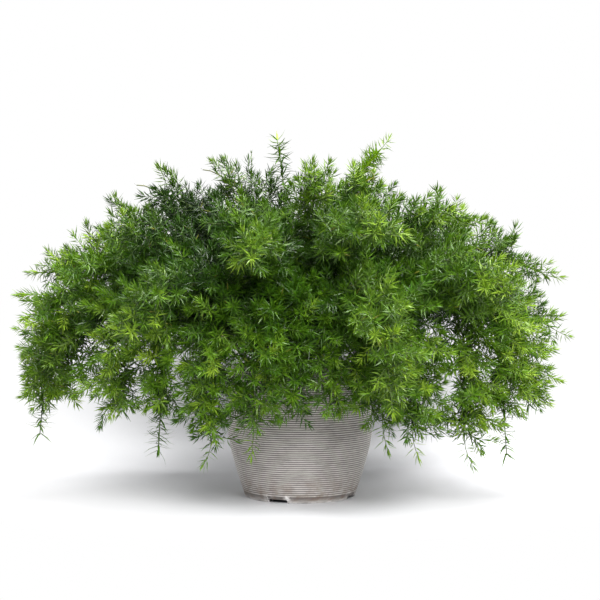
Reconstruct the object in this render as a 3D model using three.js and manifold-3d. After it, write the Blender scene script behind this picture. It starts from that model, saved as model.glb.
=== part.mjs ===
// Potted asparagus fern: a ridged resin planter, its potting mix and a mound of arching leafy stems.
// Millimetres, +Z up. The origin is on the ground, on the pot's axis. The front faces -Y.

import * as THREE from "three";
import { mergeVertices } from "three/addons/utils/BufferGeometryUtils.js";
import Module from "manifold-3d";

const wasm = await Module();
wasm.setup();

// Pot
const POT_HEIGHT = 196;
const FOOT_RADIUS = 82;
const BELLY_RADIUS = 108;
const BELLY_HEIGHT = 94;
const BELLY_ROUNDING = 1.3; // exponent of the lower wall: 1 is a plain cone
const RIM_RADIUS = 101;
const LIP_OUT = 2.5;
const LIP_HEIGHT = 7;
const POT_WALL = 5;
const POT_SIDES = 28;
const FOOT_BAND = 9; // plain band under the ridges
const FOOT_WIDTH = 9; // the ring that stands on the ground
const UNDERSIDE = 9; // height of the hollow inside that ring
const FLOOR_THICKNESS = 5;
const RIDGES = 17;
const RIDGE_DEPTH = 1.3;
const NOTCHES = 4;
const NOTCH_WIDTH = 29;
const NOTCH_HEIGHT = 5;
const NOTCH_TURN = THREE.MathUtils.degToRad(-113);
const DRAIN_RADIUS = 6;
const DRAIN_DISTANCE = 42;
const DRAIN_SIDES = 8;
const RIDGE_LOW = 0.08; // where a ridge has its groove and its crest, as shares of its pitch
const RIDGE_CREST = 0.55;
const LIP_ROUNDING = 2;

// Potting mix
const FIT_GAP = 0.35;
const SOIL_TOP = 172;
const SOIL_LUMP = 3;
const SOIL_LEVELS = 2;
const HOLE_DEPTH = 24;
const HOLE_SIDES = 5;
const CROWN_SHARE = 0.78; // share of the mix's top that the raised middle takes

// Plant
const SEED = 22106;
const SEED_STEP = 7919;
const FRONDS = 26;
const GOLDEN_ANGLE = 180 * (3 - Math.sqrt(5)); // degrees
const CROWN_RADIUS = 54;
const STRAND_CROWN = 63;
// The mound's stems run from the first value in the middle of the crown to the second at its edge. A rise is
// the exponent of that run, and a spread is how far a stem may differ. Angles are in degrees.
const LEAN = [2, 46]; // tilt from straight up where a stem leaves the mix
const LEAN_RISE = 0.8;
const LEAN_SPREAD = 3;
const HANG = [62, 143]; // tilt where a stem ends
const HANG_RISE = 0.85;
const HANG_SPREAD = 10;
const TURN_FROM = 0.12; // shares of a stem's length between which it turns from its lean to its hang
const TURN_TO = [1.25, 0.92];
const STEM_LENGTH = [325, 430];
const LENGTH_RISE = 0.6;
const LENGTH_SPREAD = 0.06; // as a share
const SWAY_SPREAD = 14;
const RIGHT_SLUMP = 4; // degrees by which outer stems lean more on the right and less on the left
const FRONT_SHARE = 0.78; // the mound is less deep than it is wide
const BACK_SHARE = 0.66;
const STEM_RADIUS = 2.2;
const STEM_TIP_RADIUS = 1.6;
const PLAIN_SHARE = 0.28; // bare foot of a stem, as a share of its length
const BARE_STEPS = 2;
const LEAFY_STEPS = 7;
const FINE_STEPS = 60;
const SWAY_WAVE = 4.2; // radians of sideways sway along a stem
const NODE_LENGTH = 2;
const TWIG_RADIUS = 1.6;
const TWIG_LONGEST = 74;
const TWIG_SHORTEST = 26;
const TWIG_SWELL = [0.22, 0.86]; // the stretch of a half wave that twig lengths follow up a stem
const TWIG_SHARE = [0.85, 1.1]; // a drawn share of that length
const TWIG_SHRINK = 0.12; // taken off at each further try
const TWIG_ANGLE = [42, 68]; // degrees from the stem
const TWIG_TRIES = 4;
const NEEDLE_LONGEST = 27;
const NEEDLE_SHORTEST = 20;
const NEEDLE_SHRINK = 0.05;
const LOW_ANGLE = [62, 84]; // degrees from the stem, for a needle on a node's lower faces
const HIGH_ANGLE = [40, 62];
const NEEDLE_TRIES = 8;
const BUD_TURN = 0.3; // radians that a twig or needle may turn from the middle of its face
const CLEARANCE = 0.3;
const STEM_ROOM = 1; // further room between stems
const TURN_STEP = 1.5; // degrees
const TURN_TRIES = 61;
const POT_ROOM = 1.5;
const POT_LOOKS = 8; // places along a bar where its room from the pot is tested
const CELL = 40; // of the grid that holds what is grown
const OLD_SIDE = [95, 205]; // degrees between which the mound's stems are old and dark

const UP = new THREE.Vector3(0, 0, 1);
const TINY = 1e-9;
const SAME_SPOT = 1e-4; // corners nearer than this are one

const FINISHES = {
  pot: { color: 0x96928f, roughness: 0.55, metalness: 0 },
  soil: { color: 0x3b2c22, roughness: 1, metalness: 0 },
  oldLeaf: { color: 0x2f4a1a, roughness: 0.6, metalness: 0 },
  fullLeaf: { color: 0x4a6a26, roughness: 0.6, metalness: 0 },
  youngLeaf: { color: 0x6d9435, roughness: 0.6, metalness: 0 },
};

// Numbers between 0 and 1 that are the same on every run
function drawFrom(seed) {
  let state = seed >>> 0;
  return () => {
    state = (state + 0x6d2b79f5) >>> 0;
    let mixed = Math.imul(state ^ (state >>> 15), state | 1);
    mixed ^= mixed + Math.imul(mixed ^ (mixed >>> 7), mixed | 61);
    return ((mixed ^ (mixed >>> 14)) >>> 0) / 4294967296;
  };
}

const mix = (low, high, share) => low + (high - low) * share;

const either = (most, draw) => mix(-most, most, draw());

const ease = (from, to, value) => {
  const share = Math.min(Math.max((value - from) / (to - from), 0), 1);
  return share * share * (3 - 2 * share);
};

// Radius of the pot's outer wall at a height, without its ridges
function wallRadius(height) {
  if (height < BELLY_HEIGHT) {
    const below = (BELLY_HEIGHT - height) / BELLY_HEIGHT;
    return BELLY_RADIUS - (BELLY_RADIUS - FOOT_RADIUS) * below ** BELLY_ROUNDING;
  }
  const above = (height - BELLY_HEIGHT) / (POT_HEIGHT - BELLY_HEIGHT);
  return BELLY_RADIUS - (BELLY_RADIUS - RIM_RADIUS) * above ** 2;
}

// A closed manifold-3d solid from a three.js geometry
function solidOf(geometry) {
  const bare = geometry.clone();
  bare.deleteAttribute("normal");
  bare.deleteAttribute("uv");
  const merged = mergeVertices(bare, SAME_SPOT);
  const corners = [];
  const index = merged.index.array;
  for (let i = 0; i < index.length; i += 3) {
    const [a, b, c] = [index[i], index[i + 1], index[i + 2]];
    if (a !== b && b !== c && c !== a) corners.push(a, b, c);
  }
  const mesh = new wasm.Mesh({
    numProp: 3,
    vertProperties: new Float32Array(merged.attributes.position.array),
    triVerts: new Uint32Array(corners),
  });
  return new wasm.Manifold(mesh);
}

function geometryOf(solid) {
  const mesh = solid.getMesh();
  const geometry = new THREE.BufferGeometry();
  geometry.setAttribute("position", new THREE.BufferAttribute(new Float32Array(mesh.vertProperties), 3));
  geometry.setIndex(new THREE.BufferAttribute(new Uint32Array(mesh.triVerts), 1));
  geometry.computeVertexNormals();
  return geometry;
}

// A body of revolution round Z from [radius, height] points
function turned(profile) {
  const points = profile.map(([radius, height]) => new THREE.Vector2(radius, height));
  return new THREE.LatheGeometry(points, POT_SIDES).rotateX(Math.PI / 2);
}

// A round bar between two points
function bar(from, to, radius, sides) {
  const along = to.clone().sub(from);
  const geometry = new THREE.CylinderGeometry(radius, radius, along.length(), sides);
  const upright = new THREE.Vector3(0, 1, 0);
  geometry.applyQuaternion(new THREE.Quaternion().setFromUnitVectors(upright, along.clone().normalize()));
  const middle = from.clone().add(to).multiplyScalar(0.5);
  return geometry.translate(middle.x, middle.y, middle.z);
}

// The planter

function potGeometry() {
  const profile = [
    [0, UNDERSIDE],
    [FOOT_RADIUS - FOOT_WIDTH, UNDERSIDE],
    [FOOT_RADIUS - FOOT_WIDTH, 0],
    [FOOT_RADIUS, 0],
    [wallRadius(FOOT_BAND), FOOT_BAND],
  ];
  const ridged = POT_HEIGHT - LIP_HEIGHT - FOOT_BAND;
  for (let ridge = 0; ridge < RIDGES; ridge += 1) {
    const low = FOOT_BAND + (ridged * (ridge + RIDGE_LOW)) / RIDGES;
    const crest = FOOT_BAND + (ridged * (ridge + RIDGE_CREST)) / RIDGES;
    profile.push([wallRadius(low) - RIDGE_DEPTH, low], [wallRadius(crest), crest]);
  }
  const lipFoot = POT_HEIGHT - LIP_HEIGHT;
  profile.push(
    [RIM_RADIUS + LIP_OUT, lipFoot],
    [RIM_RADIUS + LIP_OUT, POT_HEIGHT - LIP_ROUNDING],
    [RIM_RADIUS + LIP_OUT - LIP_ROUNDING, POT_HEIGHT],
    [RIM_RADIUS - POT_WALL, POT_HEIGHT],
  );
  const floor = UNDERSIDE + FLOOR_THICKNESS;
  for (let level = SOIL_LEVELS; level >= 0; level -= 1) {
    const height = mix(floor, SOIL_TOP, level / SOIL_LEVELS);
    profile.push([wallRadius(height) - POT_WALL, height]);
  }
  profile.push([0, floor]);

  let pot = solidOf(turned(profile));
  for (let place = 0; place < NOTCHES; place += 1) {
    const angle = NOTCH_TURN + (place * 2 * Math.PI) / NOTCHES;
    const notch = new THREE.BoxGeometry(FOOT_RADIUS, NOTCH_WIDTH, NOTCH_HEIGHT * 2);
    notch.translate(FOOT_RADIUS, 0, 0).rotateZ(angle);
    pot = pot.subtract(solidOf(notch));
    const low = new THREE.Vector3(DRAIN_DISTANCE * Math.cos(angle), DRAIN_DISTANCE * Math.sin(angle), 0);
    const high = low.clone().setZ(floor * 2);
    pot = pot.subtract(solidOf(bar(low, high, DRAIN_RADIUS, DRAIN_SIDES)));
  }
  return geometryOf(pot);
}

// The potting mix, with a plain hole for each stem

function soilGeometry(stems) {
  const floor = UNDERSIDE + FLOOR_THICKNESS;
  const profile = [[0, floor + FIT_GAP]];
  for (let level = 0; level <= SOIL_LEVELS; level += 1) {
    const height = mix(floor, SOIL_TOP, level / SOIL_LEVELS);
    const radius = wallRadius(height) - POT_WALL - FIT_GAP;
    profile.push([radius, level === 0 ? height + FIT_GAP : height]);
  }
  const edge = wallRadius(SOIL_TOP) - POT_WALL - FIT_GAP;
  profile.push([edge * CROWN_SHARE, SOIL_TOP + SOIL_LUMP], [0, SOIL_TOP + SOIL_LUMP]);
  let soil = solidOf(turned(profile));
  const holeRadius = (STEM_RADIUS + FIT_GAP) / Math.cos(Math.PI / HOLE_SIDES);
  for (const stem of stems) {
    const bottom = stem.foot.clone().addScaledVector(stem.out, -FIT_GAP);
    const above = stem.foot.clone().addScaledVector(stem.out, HOLE_DEPTH * 2);
    const hole = bar(bottom, above, holeRadius, HOLE_SIDES);
    soil = soil.subtract(solidOf(hole));
  }
  return geometryOf(soil);
}

// How the stems stand and arch. A plan's angles are in degrees. Its tilts are from straight up: lean is where
// a stem leaves the mix, hang is where it ends, and turnFrom and turnTo are the shares of its length between
// which it turns from one to the other.

function moundPlan(index) {
  const rank = (index + 0.5) / FRONDS; // 0 in the middle of the crown, 1 at its edge
  const draw = drawFrom(SEED + index * SEED_STEP);
  const azimuth = (index * GOLDEN_ANGLE) % 360;
  const slump = RIGHT_SLUMP * Math.cos(THREE.MathUtils.degToRad(azimuth)) * rank;
  const isOld = azimuth > OLD_SIDE[0] && azimuth < OLD_SIDE[1];
  return {
    azimuth,
    crown: CROWN_RADIUS * Math.sqrt(rank),
    lean: mix(...LEAN, rank ** LEAN_RISE) + either(LEAN_SPREAD, draw) + slump,
    hang: mix(...HANG, rank ** HANG_RISE) + either(HANG_SPREAD, draw),
    turnFrom: TURN_FROM,
    turnTo: mix(...TURN_TO, rank),
    length: mix(...STEM_LENGTH, rank ** LENGTH_RISE) * (1 + either(LENGTH_SPREAD, draw)),
    sway: either(SWAY_SPREAD, draw),
    finish: isOld ? FINISHES.oldLeaf : FINISHES.fullLeaf,
  };
}

// Young stems that hang or stand clear of the mound, chosen by eye
const STRANDS = [
  { azimuth: 186, lean: 43, hang: 175, turnFrom: 0.24, turnTo: 0.82, length: 570, sway: 4 },
  { azimuth: 198, lean: 41, hang: 168, turnFrom: 0.22, turnTo: 0.92, length: 460, sway: -5, crown: 50 },
  { azimuth: 202, lean: 36, hang: 176, turnFrom: 0.22, turnTo: 0.84, length: 400, sway: 5 },
  { azimuth: 224, lean: 29, hang: 176, turnFrom: 0.2, turnTo: 0.7, length: 465, sway: -4 },
  { azimuth: 236, lean: 24, hang: 176, turnFrom: 0.18, turnTo: 0.72, length: 400, sway: 5 },
  { azimuth: 256, lean: 21, hang: 176, turnFrom: 0.18, turnTo: 0.74, length: 380, sway: -5 },
  { azimuth: 262, lean: 14, hang: 168, turnFrom: 0.16, turnTo: 0.88, length: 322, sway: -6 },
  { azimuth: 271, lean: 16, hang: 176, turnFrom: 0.16, turnTo: 0.78, length: 350, sway: -5 },
  { azimuth: 281, lean: 18, hang: 174, turnFrom: 0.16, turnTo: 0.82, length: 350, sway: 5 },
  { azimuth: 288, lean: 20, hang: 172, turnFrom: 0.16, turnTo: 0.82, length: 345, sway: -4 },
  { azimuth: 302, lean: 21, hang: 176, turnFrom: 0.18, turnTo: 0.76, length: 390, sway: -5 },
  { azimuth: 318, lean: 24, hang: 176, turnFrom: 0.19, turnTo: 0.74, length: 415, sway: -7 },
  { azimuth: 328, lean: 29, hang: 176, turnFrom: 0.21, turnTo: 0.72, length: 465, sway: 4 },
  { azimuth: 344, lean: 36, hang: 176, turnFrom: 0.22, turnTo: 0.72, length: 530, sway: -4 },
  { azimuth: 352, lean: 48, hang: 172, turnFrom: 0.22, turnTo: 0.95, length: 410, sway: 3 },
  { azimuth: 62, lean: 32, hang: 174, turnFrom: 0.2, turnTo: 0.76, length: 430, sway: -7 },
  { azimuth: 118, lean: 36, hang: 172, turnFrom: 0.22, turnTo: 0.78, length: 460, sway: 5 },
  { azimuth: 172, lean: 36, hang: 104, turnFrom: 0.2, turnTo: 1, length: 395, sway: 5 },
  { azimuth: 21, lean: 5, hang: 58, turnFrom: 0.3, turnTo: 1.2, length: 385, sway: -8, crown: 30 },
  { azimuth: 108, lean: 3, hang: 34, turnFrom: 0.45, turnTo: 1.3, length: 374, sway: 10, crown: 22 },
];

// A stem's heading at a share of its length
function headingOf(plan, share) {
  const azimuth = THREE.MathUtils.degToRad(plan.azimuth + plan.sway * Math.sin(share * SWAY_WAVE));
  const tilt = THREE.MathUtils.degToRad(mix(plan.lean, plan.hang, ease(plan.turnFrom, plan.turnTo, share)));
  const flat = Math.sin(tilt);
  const depth = Math.sin(azimuth) < 0 ? FRONT_SHARE : BACK_SHARE;
  return new THREE.Vector3(flat * Math.cos(azimuth), flat * Math.sin(azimuth) * depth, Math.cos(tilt));
}

// The stem's line: its foot in the soil, its bare bends and its leafy nodes
function routeOf(plan) {
  const azimuth = THREE.MathUtils.degToRad(plan.azimuth);
  const out = headingOf(plan, 0).normalize();
  const start = new THREE.Vector3(plan.crown * Math.cos(azimuth), plan.crown * Math.sin(azimuth), SOIL_TOP);
  const foot = start.clone().addScaledVector(out, -HOLE_DEPTH);
  const shares = [];
  for (let step = 1; step <= BARE_STEPS; step += 1) shares.push((PLAIN_SHARE * step) / BARE_STEPS);
  for (let step = 1; step <= LEAFY_STEPS; step += 1) {
    shares.push(mix(PLAIN_SHARE, 1, step / LEAFY_STEPS));
  }
  const line = [start.clone()];
  const at = start.clone();
  let next = 0;
  for (let step = 1; step <= FINE_STEPS; step += 1) {
    at.addScaledVector(headingOf(plan, (step - 0.5) / FINE_STEPS), plan.length / FINE_STEPS);
    if (step / FINE_STEPS >= shares[next] - TINY) {
      line.push(at.clone());
      next += 1;
    }
  }
  return { foot, out, line };
}

// Room that is taken: every stem, twig and needle is a rounded bar in a grid of cells

// The least distance between two straight bars' middle lines
function barDistance(p1, q1, p2, q2) {
  const d1 = q1.clone().sub(p1);
  const d2 = q2.clone().sub(p2);
  const r = p1.clone().sub(p2);
  const a = d1.dot(d1);
  const e = d2.dot(d2);
  const f = d2.dot(r);
  const c = d1.dot(r);
  const b = d1.dot(d2);
  const denominator = a * e - b * b;
  let s = denominator > TINY ? Math.min(Math.max((b * f - c * e) / denominator, 0), 1) : 0;
  let t = (b * s + f) / e;
  if (t < 0) {
    t = 0;
    s = Math.min(Math.max(-c / a, 0), 1);
  } else if (t > 1) {
    t = 1;
    s = Math.min(Math.max((b - c) / a, 0), 1);
  }
  const near = p1.clone().addScaledVector(d1, s);
  return near.distanceTo(p2.clone().addScaledVector(d2, t));
}

class Thicket {
  constructor() {
    this.cells = new Map();
  }

  * keys(from, to, radius) {
    const low = from.clone().min(to).subScalar(radius);
    const high = from.clone().max(to).addScalar(radius);
    for (let x = Math.floor(low.x / CELL); x <= Math.floor(high.x / CELL); x += 1) {
      for (let y = Math.floor(low.y / CELL); y <= Math.floor(high.y / CELL); y += 1) {
        for (let z = Math.floor(low.z / CELL); z <= Math.floor(high.z / CELL); z += 1) yield `${x},${y},${z}`;
      }
    }
  }

  add(from, to, radius, joint) {
    const entry = { from, to, radius, joint };
    for (const key of this.keys(from, to, radius)) {
      if (!this.cells.has(key)) this.cells.set(key, []);
      this.cells.get(key).push(entry);
    }
  }

  // True if a bar is clear of every bar that doesn't meet its own joint
  isFree(from, to, radius, joint) {
    for (const key of this.keys(from, to, radius + CLEARANCE)) {
      for (const other of this.cells.get(key) ?? []) {
        if (joint && other.joint.includes(joint)) continue;
        const gap = radius + other.radius + CLEARANCE;
        if (barDistance(from, to, other.from, other.to) < gap) return false;
      }
    }
    return true;
  }

  // The same, and clear of the pot and the ground
  isClear(from, to, radius, joint) {
    return clearOfPot(from, to, radius) && this.isFree(from, to, radius, joint);
  }
}

function clearOfPot(from, to, radius) {
  for (let look = 0; look <= POT_LOOKS; look += 1) {
    const spot = from.clone().lerp(to, look / POT_LOOKS);
    if (spot.z < radius + POT_ROOM) return false;
    if (spot.z > POT_HEIGHT + radius + POT_ROOM) continue;
    const distance = Math.hypot(spot.x, spot.y);
    const outside = distance > wallRadius(Math.min(spot.z, POT_HEIGHT)) + LIP_OUT + radius + POT_ROOM;
    const within = distance < RIM_RADIUS - POT_WALL - radius - POT_ROOM;
    const above = spot.z > SOIL_TOP + SOIL_LUMP + radius + POT_ROOM;
    if (!outside && !(within && above)) return false;
  }
  return true;
}

// The skin of a frond: three-sided tubes whose small faces at each node are drawn out into needles and twigs

class Skin {
  constructor() {
    this.points = [];
    this.faces = [];
  }

  point(spot) {
    this.points.push(spot.x, spot.y, spot.z);
    return this.points.length / 3 - 1;
  }

  spot(index) {
    return new THREE.Vector3().fromArray(this.points, index * 3);
  }

  face(a, b, c) {
    this.faces.push(a, b, c);
  }

  // Three points round a centre, square to along, the first one turned from side
  ring(centre, along, side, radius, turn) {
    const across = along.clone().cross(side);
    return [0, 1, 2].map((corner) => {
      const angle = turn + (corner * 2 * Math.PI) / 3;
      const spot = centre.clone().addScaledVector(side, Math.cos(angle) * radius);
      return this.point(spot.addScaledVector(across, Math.sin(angle) * radius));
    });
  }

  sleeve(lower, upper) {
    for (let i = 0; i < 3; i += 1) {
      const j = (i + 1) % 3;
      this.face(lower[i], lower[j], upper[j]);
      this.face(lower[i], upper[j], upper[i]);
    }
  }

  // The six small faces between a ring and the next one, which is turned by a sixth of a circle
  buds(lower, upper) {
    const found = [];
    for (let i = 0; i < 3; i += 1) {
      const j = (i + 1) % 3;
      found.push([lower[i], lower[j], upper[i]], [lower[j], upper[j], upper[i]]);
    }
    return found;
  }

  spike(corners, tip) {
    const [a, b, c] = corners;
    const apex = this.point(tip);
    this.face(a, b, apex);
    this.face(b, c, apex);
    this.face(c, a, apex);
  }

  middle(corners) {
    const sum = new THREE.Vector3();
    for (const corner of corners) sum.add(this.spot(corner));
    return sum.divideScalar(corners.length);
  }

  geometry() {
    const geometry = new THREE.BufferGeometry();
    geometry.setAttribute("position", new THREE.Float32BufferAttribute(this.points, 3));
    geometry.setIndex(this.faces);
    geometry.computeVertexNormals();
    return geometry;
  }
}

// A unit vector square to along, as near as can be to a wish
function squareTo(along, wish) {
  const side = wish.clone().addScaledVector(along, -wish.dot(along));
  if (side.lengthSq() < TINY) side.set(along.z, 0, -along.x);
  return side.normalize();
}

// One leafy stem. It grows in three rounds, so that every stem has its room before any twig, and every twig
// before any needle.
class Frond {
  constructor(plan, seed) {
    this.plan = plan;
    this.draw = drawFrom(seed);
    this.skin = new Skin();
    this.open = [];
  }

  // Settles the stem's line, turned round the pot's axis by as little as clears it of the stems before it
  claim(thicket) {
    const { plan } = this;
    for (let step = 0; step < TURN_TRIES; step += 1) {
      const turn = (step % 2 ? 1 : -1) * Math.ceil(step / 2) * TURN_STEP;
      Object.assign(this, routeOf({ ...plan, azimuth: plan.azimuth + turn }));
      const line = [this.foot, ...this.line];
      const bars = line.slice(1).map((to, i) => ({ from: line[i], to, joints: [this.line[i - 1], to] }));
      if (!bars.every(({ from, to }) => thicket.isFree(from, to, STEM_RADIUS + STEM_ROOM, null))) continue;
      for (const { from, to, joints } of bars) thicket.add(from, to, STEM_RADIUS, joints);
      return;
    }
    throw new Error("a stem found no room");
  }

  growStem() {
    const { skin, line } = this;
    let side = squareTo(this.out, UP);
    let ring = skin.ring(this.foot, this.out, side, STEM_RADIUS, 0);
    skin.face(ring[2], ring[1], ring[0]);
    let turn = 0;
    for (let i = 0; i < line.length; i += 1) {
      const back = i === 0 ? this.foot : line[i - 1];
      const ahead = line[Math.min(i + 1, line.length - 1)];
      const along = ahead.clone().sub(back).normalize();
      side = squareTo(along, side);
      const radius = mix(STEM_RADIUS, STEM_TIP_RADIUS, i / (line.length - 1));
      const lower = skin.ring(line[i], along, side, radius, turn);
      skin.sleeve(ring, lower);
      ring = lower;
      if (i < BARE_STEPS + 1) continue;
      turn += Math.PI / 3;
      const top = line[i].clone().addScaledVector(along, NODE_LENGTH);
      ring = skin.ring(top, along, side, radius, turn);
      const leafy = (i - BARE_STEPS) / LEAFY_STEPS;
      const end = i === line.length - 1;
      this.open.push({ joint: line[i], along, leafy, faces: skin.buds(lower, ring), end });
    }
    this.open.at(-1).ring = ring;
  }

  // A way out of a face, at an angle from the stem that is drawn between two limits
  wayOut(bud, root, [least, most]) {
    const outward = squareTo(bud.along, root.clone().sub(bud.joint));
    const angle = THREE.MathUtils.degToRad(mix(least, most, this.draw()));
    const way = bud.along.clone().multiplyScalar(Math.cos(angle)).addScaledVector(outward, Math.sin(angle));
    return way.applyAxisAngle(bud.along, either(BUD_TURN, this.draw));
  }

  // One twig at each node but the last, on the first face from a drawn one that has room
  growTwigs(thicket) {
    for (const bud of this.open.slice()) {
      if (bud.end) continue;
      const first = Math.floor(this.draw() * 6);
      const faces = [0, 2, 4, 1, 3, 5].map((turn) => bud.faces[(first + turn) % 6]);
      faces.find((corners) => this.growTwig(thicket, bud, corners));
    }
  }

  growTwig(thicket, bud, corners) {
    const { skin } = this;
    const root = skin.middle(corners);
    const full = Math.sin(Math.PI * mix(...TWIG_SWELL, bud.leafy));
    const length = mix(TWIG_SHORTEST, TWIG_LONGEST, full) * mix(...TWIG_SHARE, this.draw());
    for (let attempt = 0; attempt < TWIG_TRIES; attempt += 1) {
      const along = this.wayOut(bud, root, TWIG_ANGLE);
      const end = root.clone().addScaledVector(along, length * (1 - attempt * TWIG_SHRINK));
      const reach = end.clone().addScaledVector(along, NEEDLE_SHORTEST / 2);
      if (!thicket.isClear(root, reach, TWIG_RADIUS * 2, bud.joint)) continue;
      thicket.add(root, end, TWIG_RADIUS, [bud.joint, end]);
      const side = squareTo(along, skin.spot(corners[0]).sub(root));
      const lower = skin.ring(end, along, side, TWIG_RADIUS, 0);
      skin.sleeve(corners, lower);
      const top = end.clone().addScaledVector(along, NODE_LENGTH);
      const upper = skin.ring(top, along, side, TWIG_RADIUS, Math.PI / 3);
      this.open.push({ joint: end, along, faces: skin.buds(lower, upper), end: true, ring: upper });
      corners.used = true;
      return true;
    }
    return false;
  }

  // Needles on every free face at the ends and on the lower faces at the other nodes
  growNeedles(thicket) {
    const { skin } = this;
    for (const bud of this.open) {
      bud.faces.forEach((corners, k) => {
        if (corners.used) return;
        const isLow = k % 2 === 0;
        const angle = isLow ? LOW_ANGLE : HIGH_ANGLE;
        const tip = bud.end || isLow ? this.needleTip(thicket, bud, corners, angle) : null;
        if (tip) skin.spike(corners, tip);
        else skin.face(...corners);
      });
      if (bud.end) skin.spike(bud.ring, this.endTip(thicket, bud));
    }
  }

  needleTip(thicket, bud, corners, angle) {
    const root = this.skin.middle(corners);
    for (let attempt = 0; attempt < NEEDLE_TRIES; attempt += 1) {
      const way = this.wayOut(bud, root, angle);
      const length = mix(NEEDLE_SHORTEST, NEEDLE_LONGEST, this.draw()) * (1 - attempt * NEEDLE_SHRINK);
      const tip = root.clone().addScaledVector(way, length);
      if (!thicket.isClear(root, tip, TWIG_RADIUS, bud.joint)) continue;
      thicket.add(root, tip, TWIG_RADIUS, [bud.joint]);
      return tip;
    }
    return null;
  }

  // The needle that ends a stem or twig, as long as there is room for
  endTip(thicket, bud) {
    const root = bud.joint.clone().addScaledVector(bud.along, NODE_LENGTH);
    for (let length = NEEDLE_LONGEST; length > NODE_LENGTH * 3; length -= NODE_LENGTH * 2) {
      const tip = root.clone().addScaledVector(bud.along, length);
      if (!thicket.isClear(root, tip, TWIG_RADIUS, bud.joint)) continue;
      thicket.add(root, tip, TWIG_RADIUS, [bud.joint]);
      return tip;
    }
    return root.clone().addScaledVector(bud.along, NODE_LENGTH);
  }
}

function growPlant() {
  const plans = [];
  for (let index = 0; index < FRONDS; index += 1) plans.push(moundPlan(index));
  for (const strand of STRANDS) plans.push({ crown: STRAND_CROWN, finish: FINISHES.youngLeaf, ...strand });
  const thicket = new Thicket();
  const fronds = plans.map((plan, index) => new Frond(plan, SEED - (index + 1) * SEED_STEP));
  for (const frond of fronds) frond.claim(thicket);
  for (const frond of fronds) frond.growStem();
  for (const frond of fronds) frond.growTwigs(thicket);
  for (const frond of fronds) frond.growNeedles(thicket);
  return fronds;
}

function piece(name, geometry, finish) {
  const mesh = new THREE.Mesh(geometry, new THREE.MeshStandardMaterial(finish));
  mesh.name = name;
  return mesh;
}

const fronds = growPlant();

const plant = new THREE.Group();
fronds.forEach((frond, index) => {
  const name = `frond_${String(index + 1).padStart(2, "0")}`;
  plant.add(piece(name, frond.skin.geometry(), frond.plan.finish));
});

const potted = new THREE.Group();
potted.add(piece("pot", potGeometry(), FINISHES.pot));
potted.add(piece("soil", soilGeometry(fronds), FINISHES.soil));
potted.add(plant);

export default potted;
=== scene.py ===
"""Potted asparagus fern: a finely ridged resin planter, its potting mix and a mound of arching leafy stems.

Metres, +Z up. The origin is on the ground, on the pot's axis. The front faces -Y.
"""

import logging
import math
from dataclasses import dataclass, field, replace
from enum import Enum
from random import Random
from typing import Iterable, Iterator, Sequence

import bmesh
import bpy
import numpy as np
from mathutils import Matrix, Vector, noise


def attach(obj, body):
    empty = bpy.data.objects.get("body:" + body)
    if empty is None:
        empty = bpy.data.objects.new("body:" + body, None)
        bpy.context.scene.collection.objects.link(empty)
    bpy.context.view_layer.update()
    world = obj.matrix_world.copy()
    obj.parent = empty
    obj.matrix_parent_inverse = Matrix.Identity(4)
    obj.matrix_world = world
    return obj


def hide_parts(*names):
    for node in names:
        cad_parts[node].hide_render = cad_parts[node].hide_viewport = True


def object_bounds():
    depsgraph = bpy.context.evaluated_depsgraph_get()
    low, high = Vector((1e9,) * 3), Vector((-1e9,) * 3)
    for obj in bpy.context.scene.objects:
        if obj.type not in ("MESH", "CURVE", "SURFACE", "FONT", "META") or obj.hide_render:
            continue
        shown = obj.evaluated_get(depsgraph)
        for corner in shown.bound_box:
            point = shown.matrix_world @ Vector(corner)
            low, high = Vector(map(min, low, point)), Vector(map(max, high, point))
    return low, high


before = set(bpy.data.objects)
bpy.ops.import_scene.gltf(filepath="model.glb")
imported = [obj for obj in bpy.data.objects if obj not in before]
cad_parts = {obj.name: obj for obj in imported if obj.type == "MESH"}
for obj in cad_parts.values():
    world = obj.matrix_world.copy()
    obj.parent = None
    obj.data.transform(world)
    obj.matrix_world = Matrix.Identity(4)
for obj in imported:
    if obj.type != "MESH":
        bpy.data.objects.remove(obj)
FRAME_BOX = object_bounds()

LOG = logging.getLogger("potted_fern")
MM = 0.001
TINY = 1e-6
UP = Vector((0.0, 0.0, 1.0))
BODY = "root"
BAKE_MAP = "OFBake"  # the pieces' own map


# Small helpers


def mix(low: float, high: float, share: float) -> float:
    """The value a share of the way from low to high."""
    return low + (high - low) * share


def ease(start: float, end: float, value: float) -> float:
    """A smooth step from 0 at start to 1 at end."""
    share = min(max((value - start) / (end - start), 0.0), 1.0)
    return share * share * (3 - 2 * share)


def linear(code: str) -> tuple[float, float, float, float]:
    """Turns an sRGB hex colour into linear light.

    Args:
        code: Six hex digits.

    Returns:
        Linear red, green and blue, with an alpha of 1.
    """
    channels = [int(code[i:i + 2], 16) / 255 for i in (0, 2, 4)]
    red, green, blue = (c / 12.92 if c <= 0.04045 else ((c + 0.055) / 1.055) ** 2.4 for c in channels)
    return red, green, blue, 1.0


def square_to(along: Vector, wish: Vector) -> Vector:
    """Finds a unit vector square to another.

    Args:
        along: The unit vector that it is square to.
        wish: Where it points as nearly as it can.

    Returns:
        The vector, or one square to the Y axis too where the wish runs along the other.
    """
    side = wish - along * wish.dot(along)
    if side.length < TINY:
        side = Vector((along.z, 0.0, -along.x))
    return side.normalized()


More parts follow.
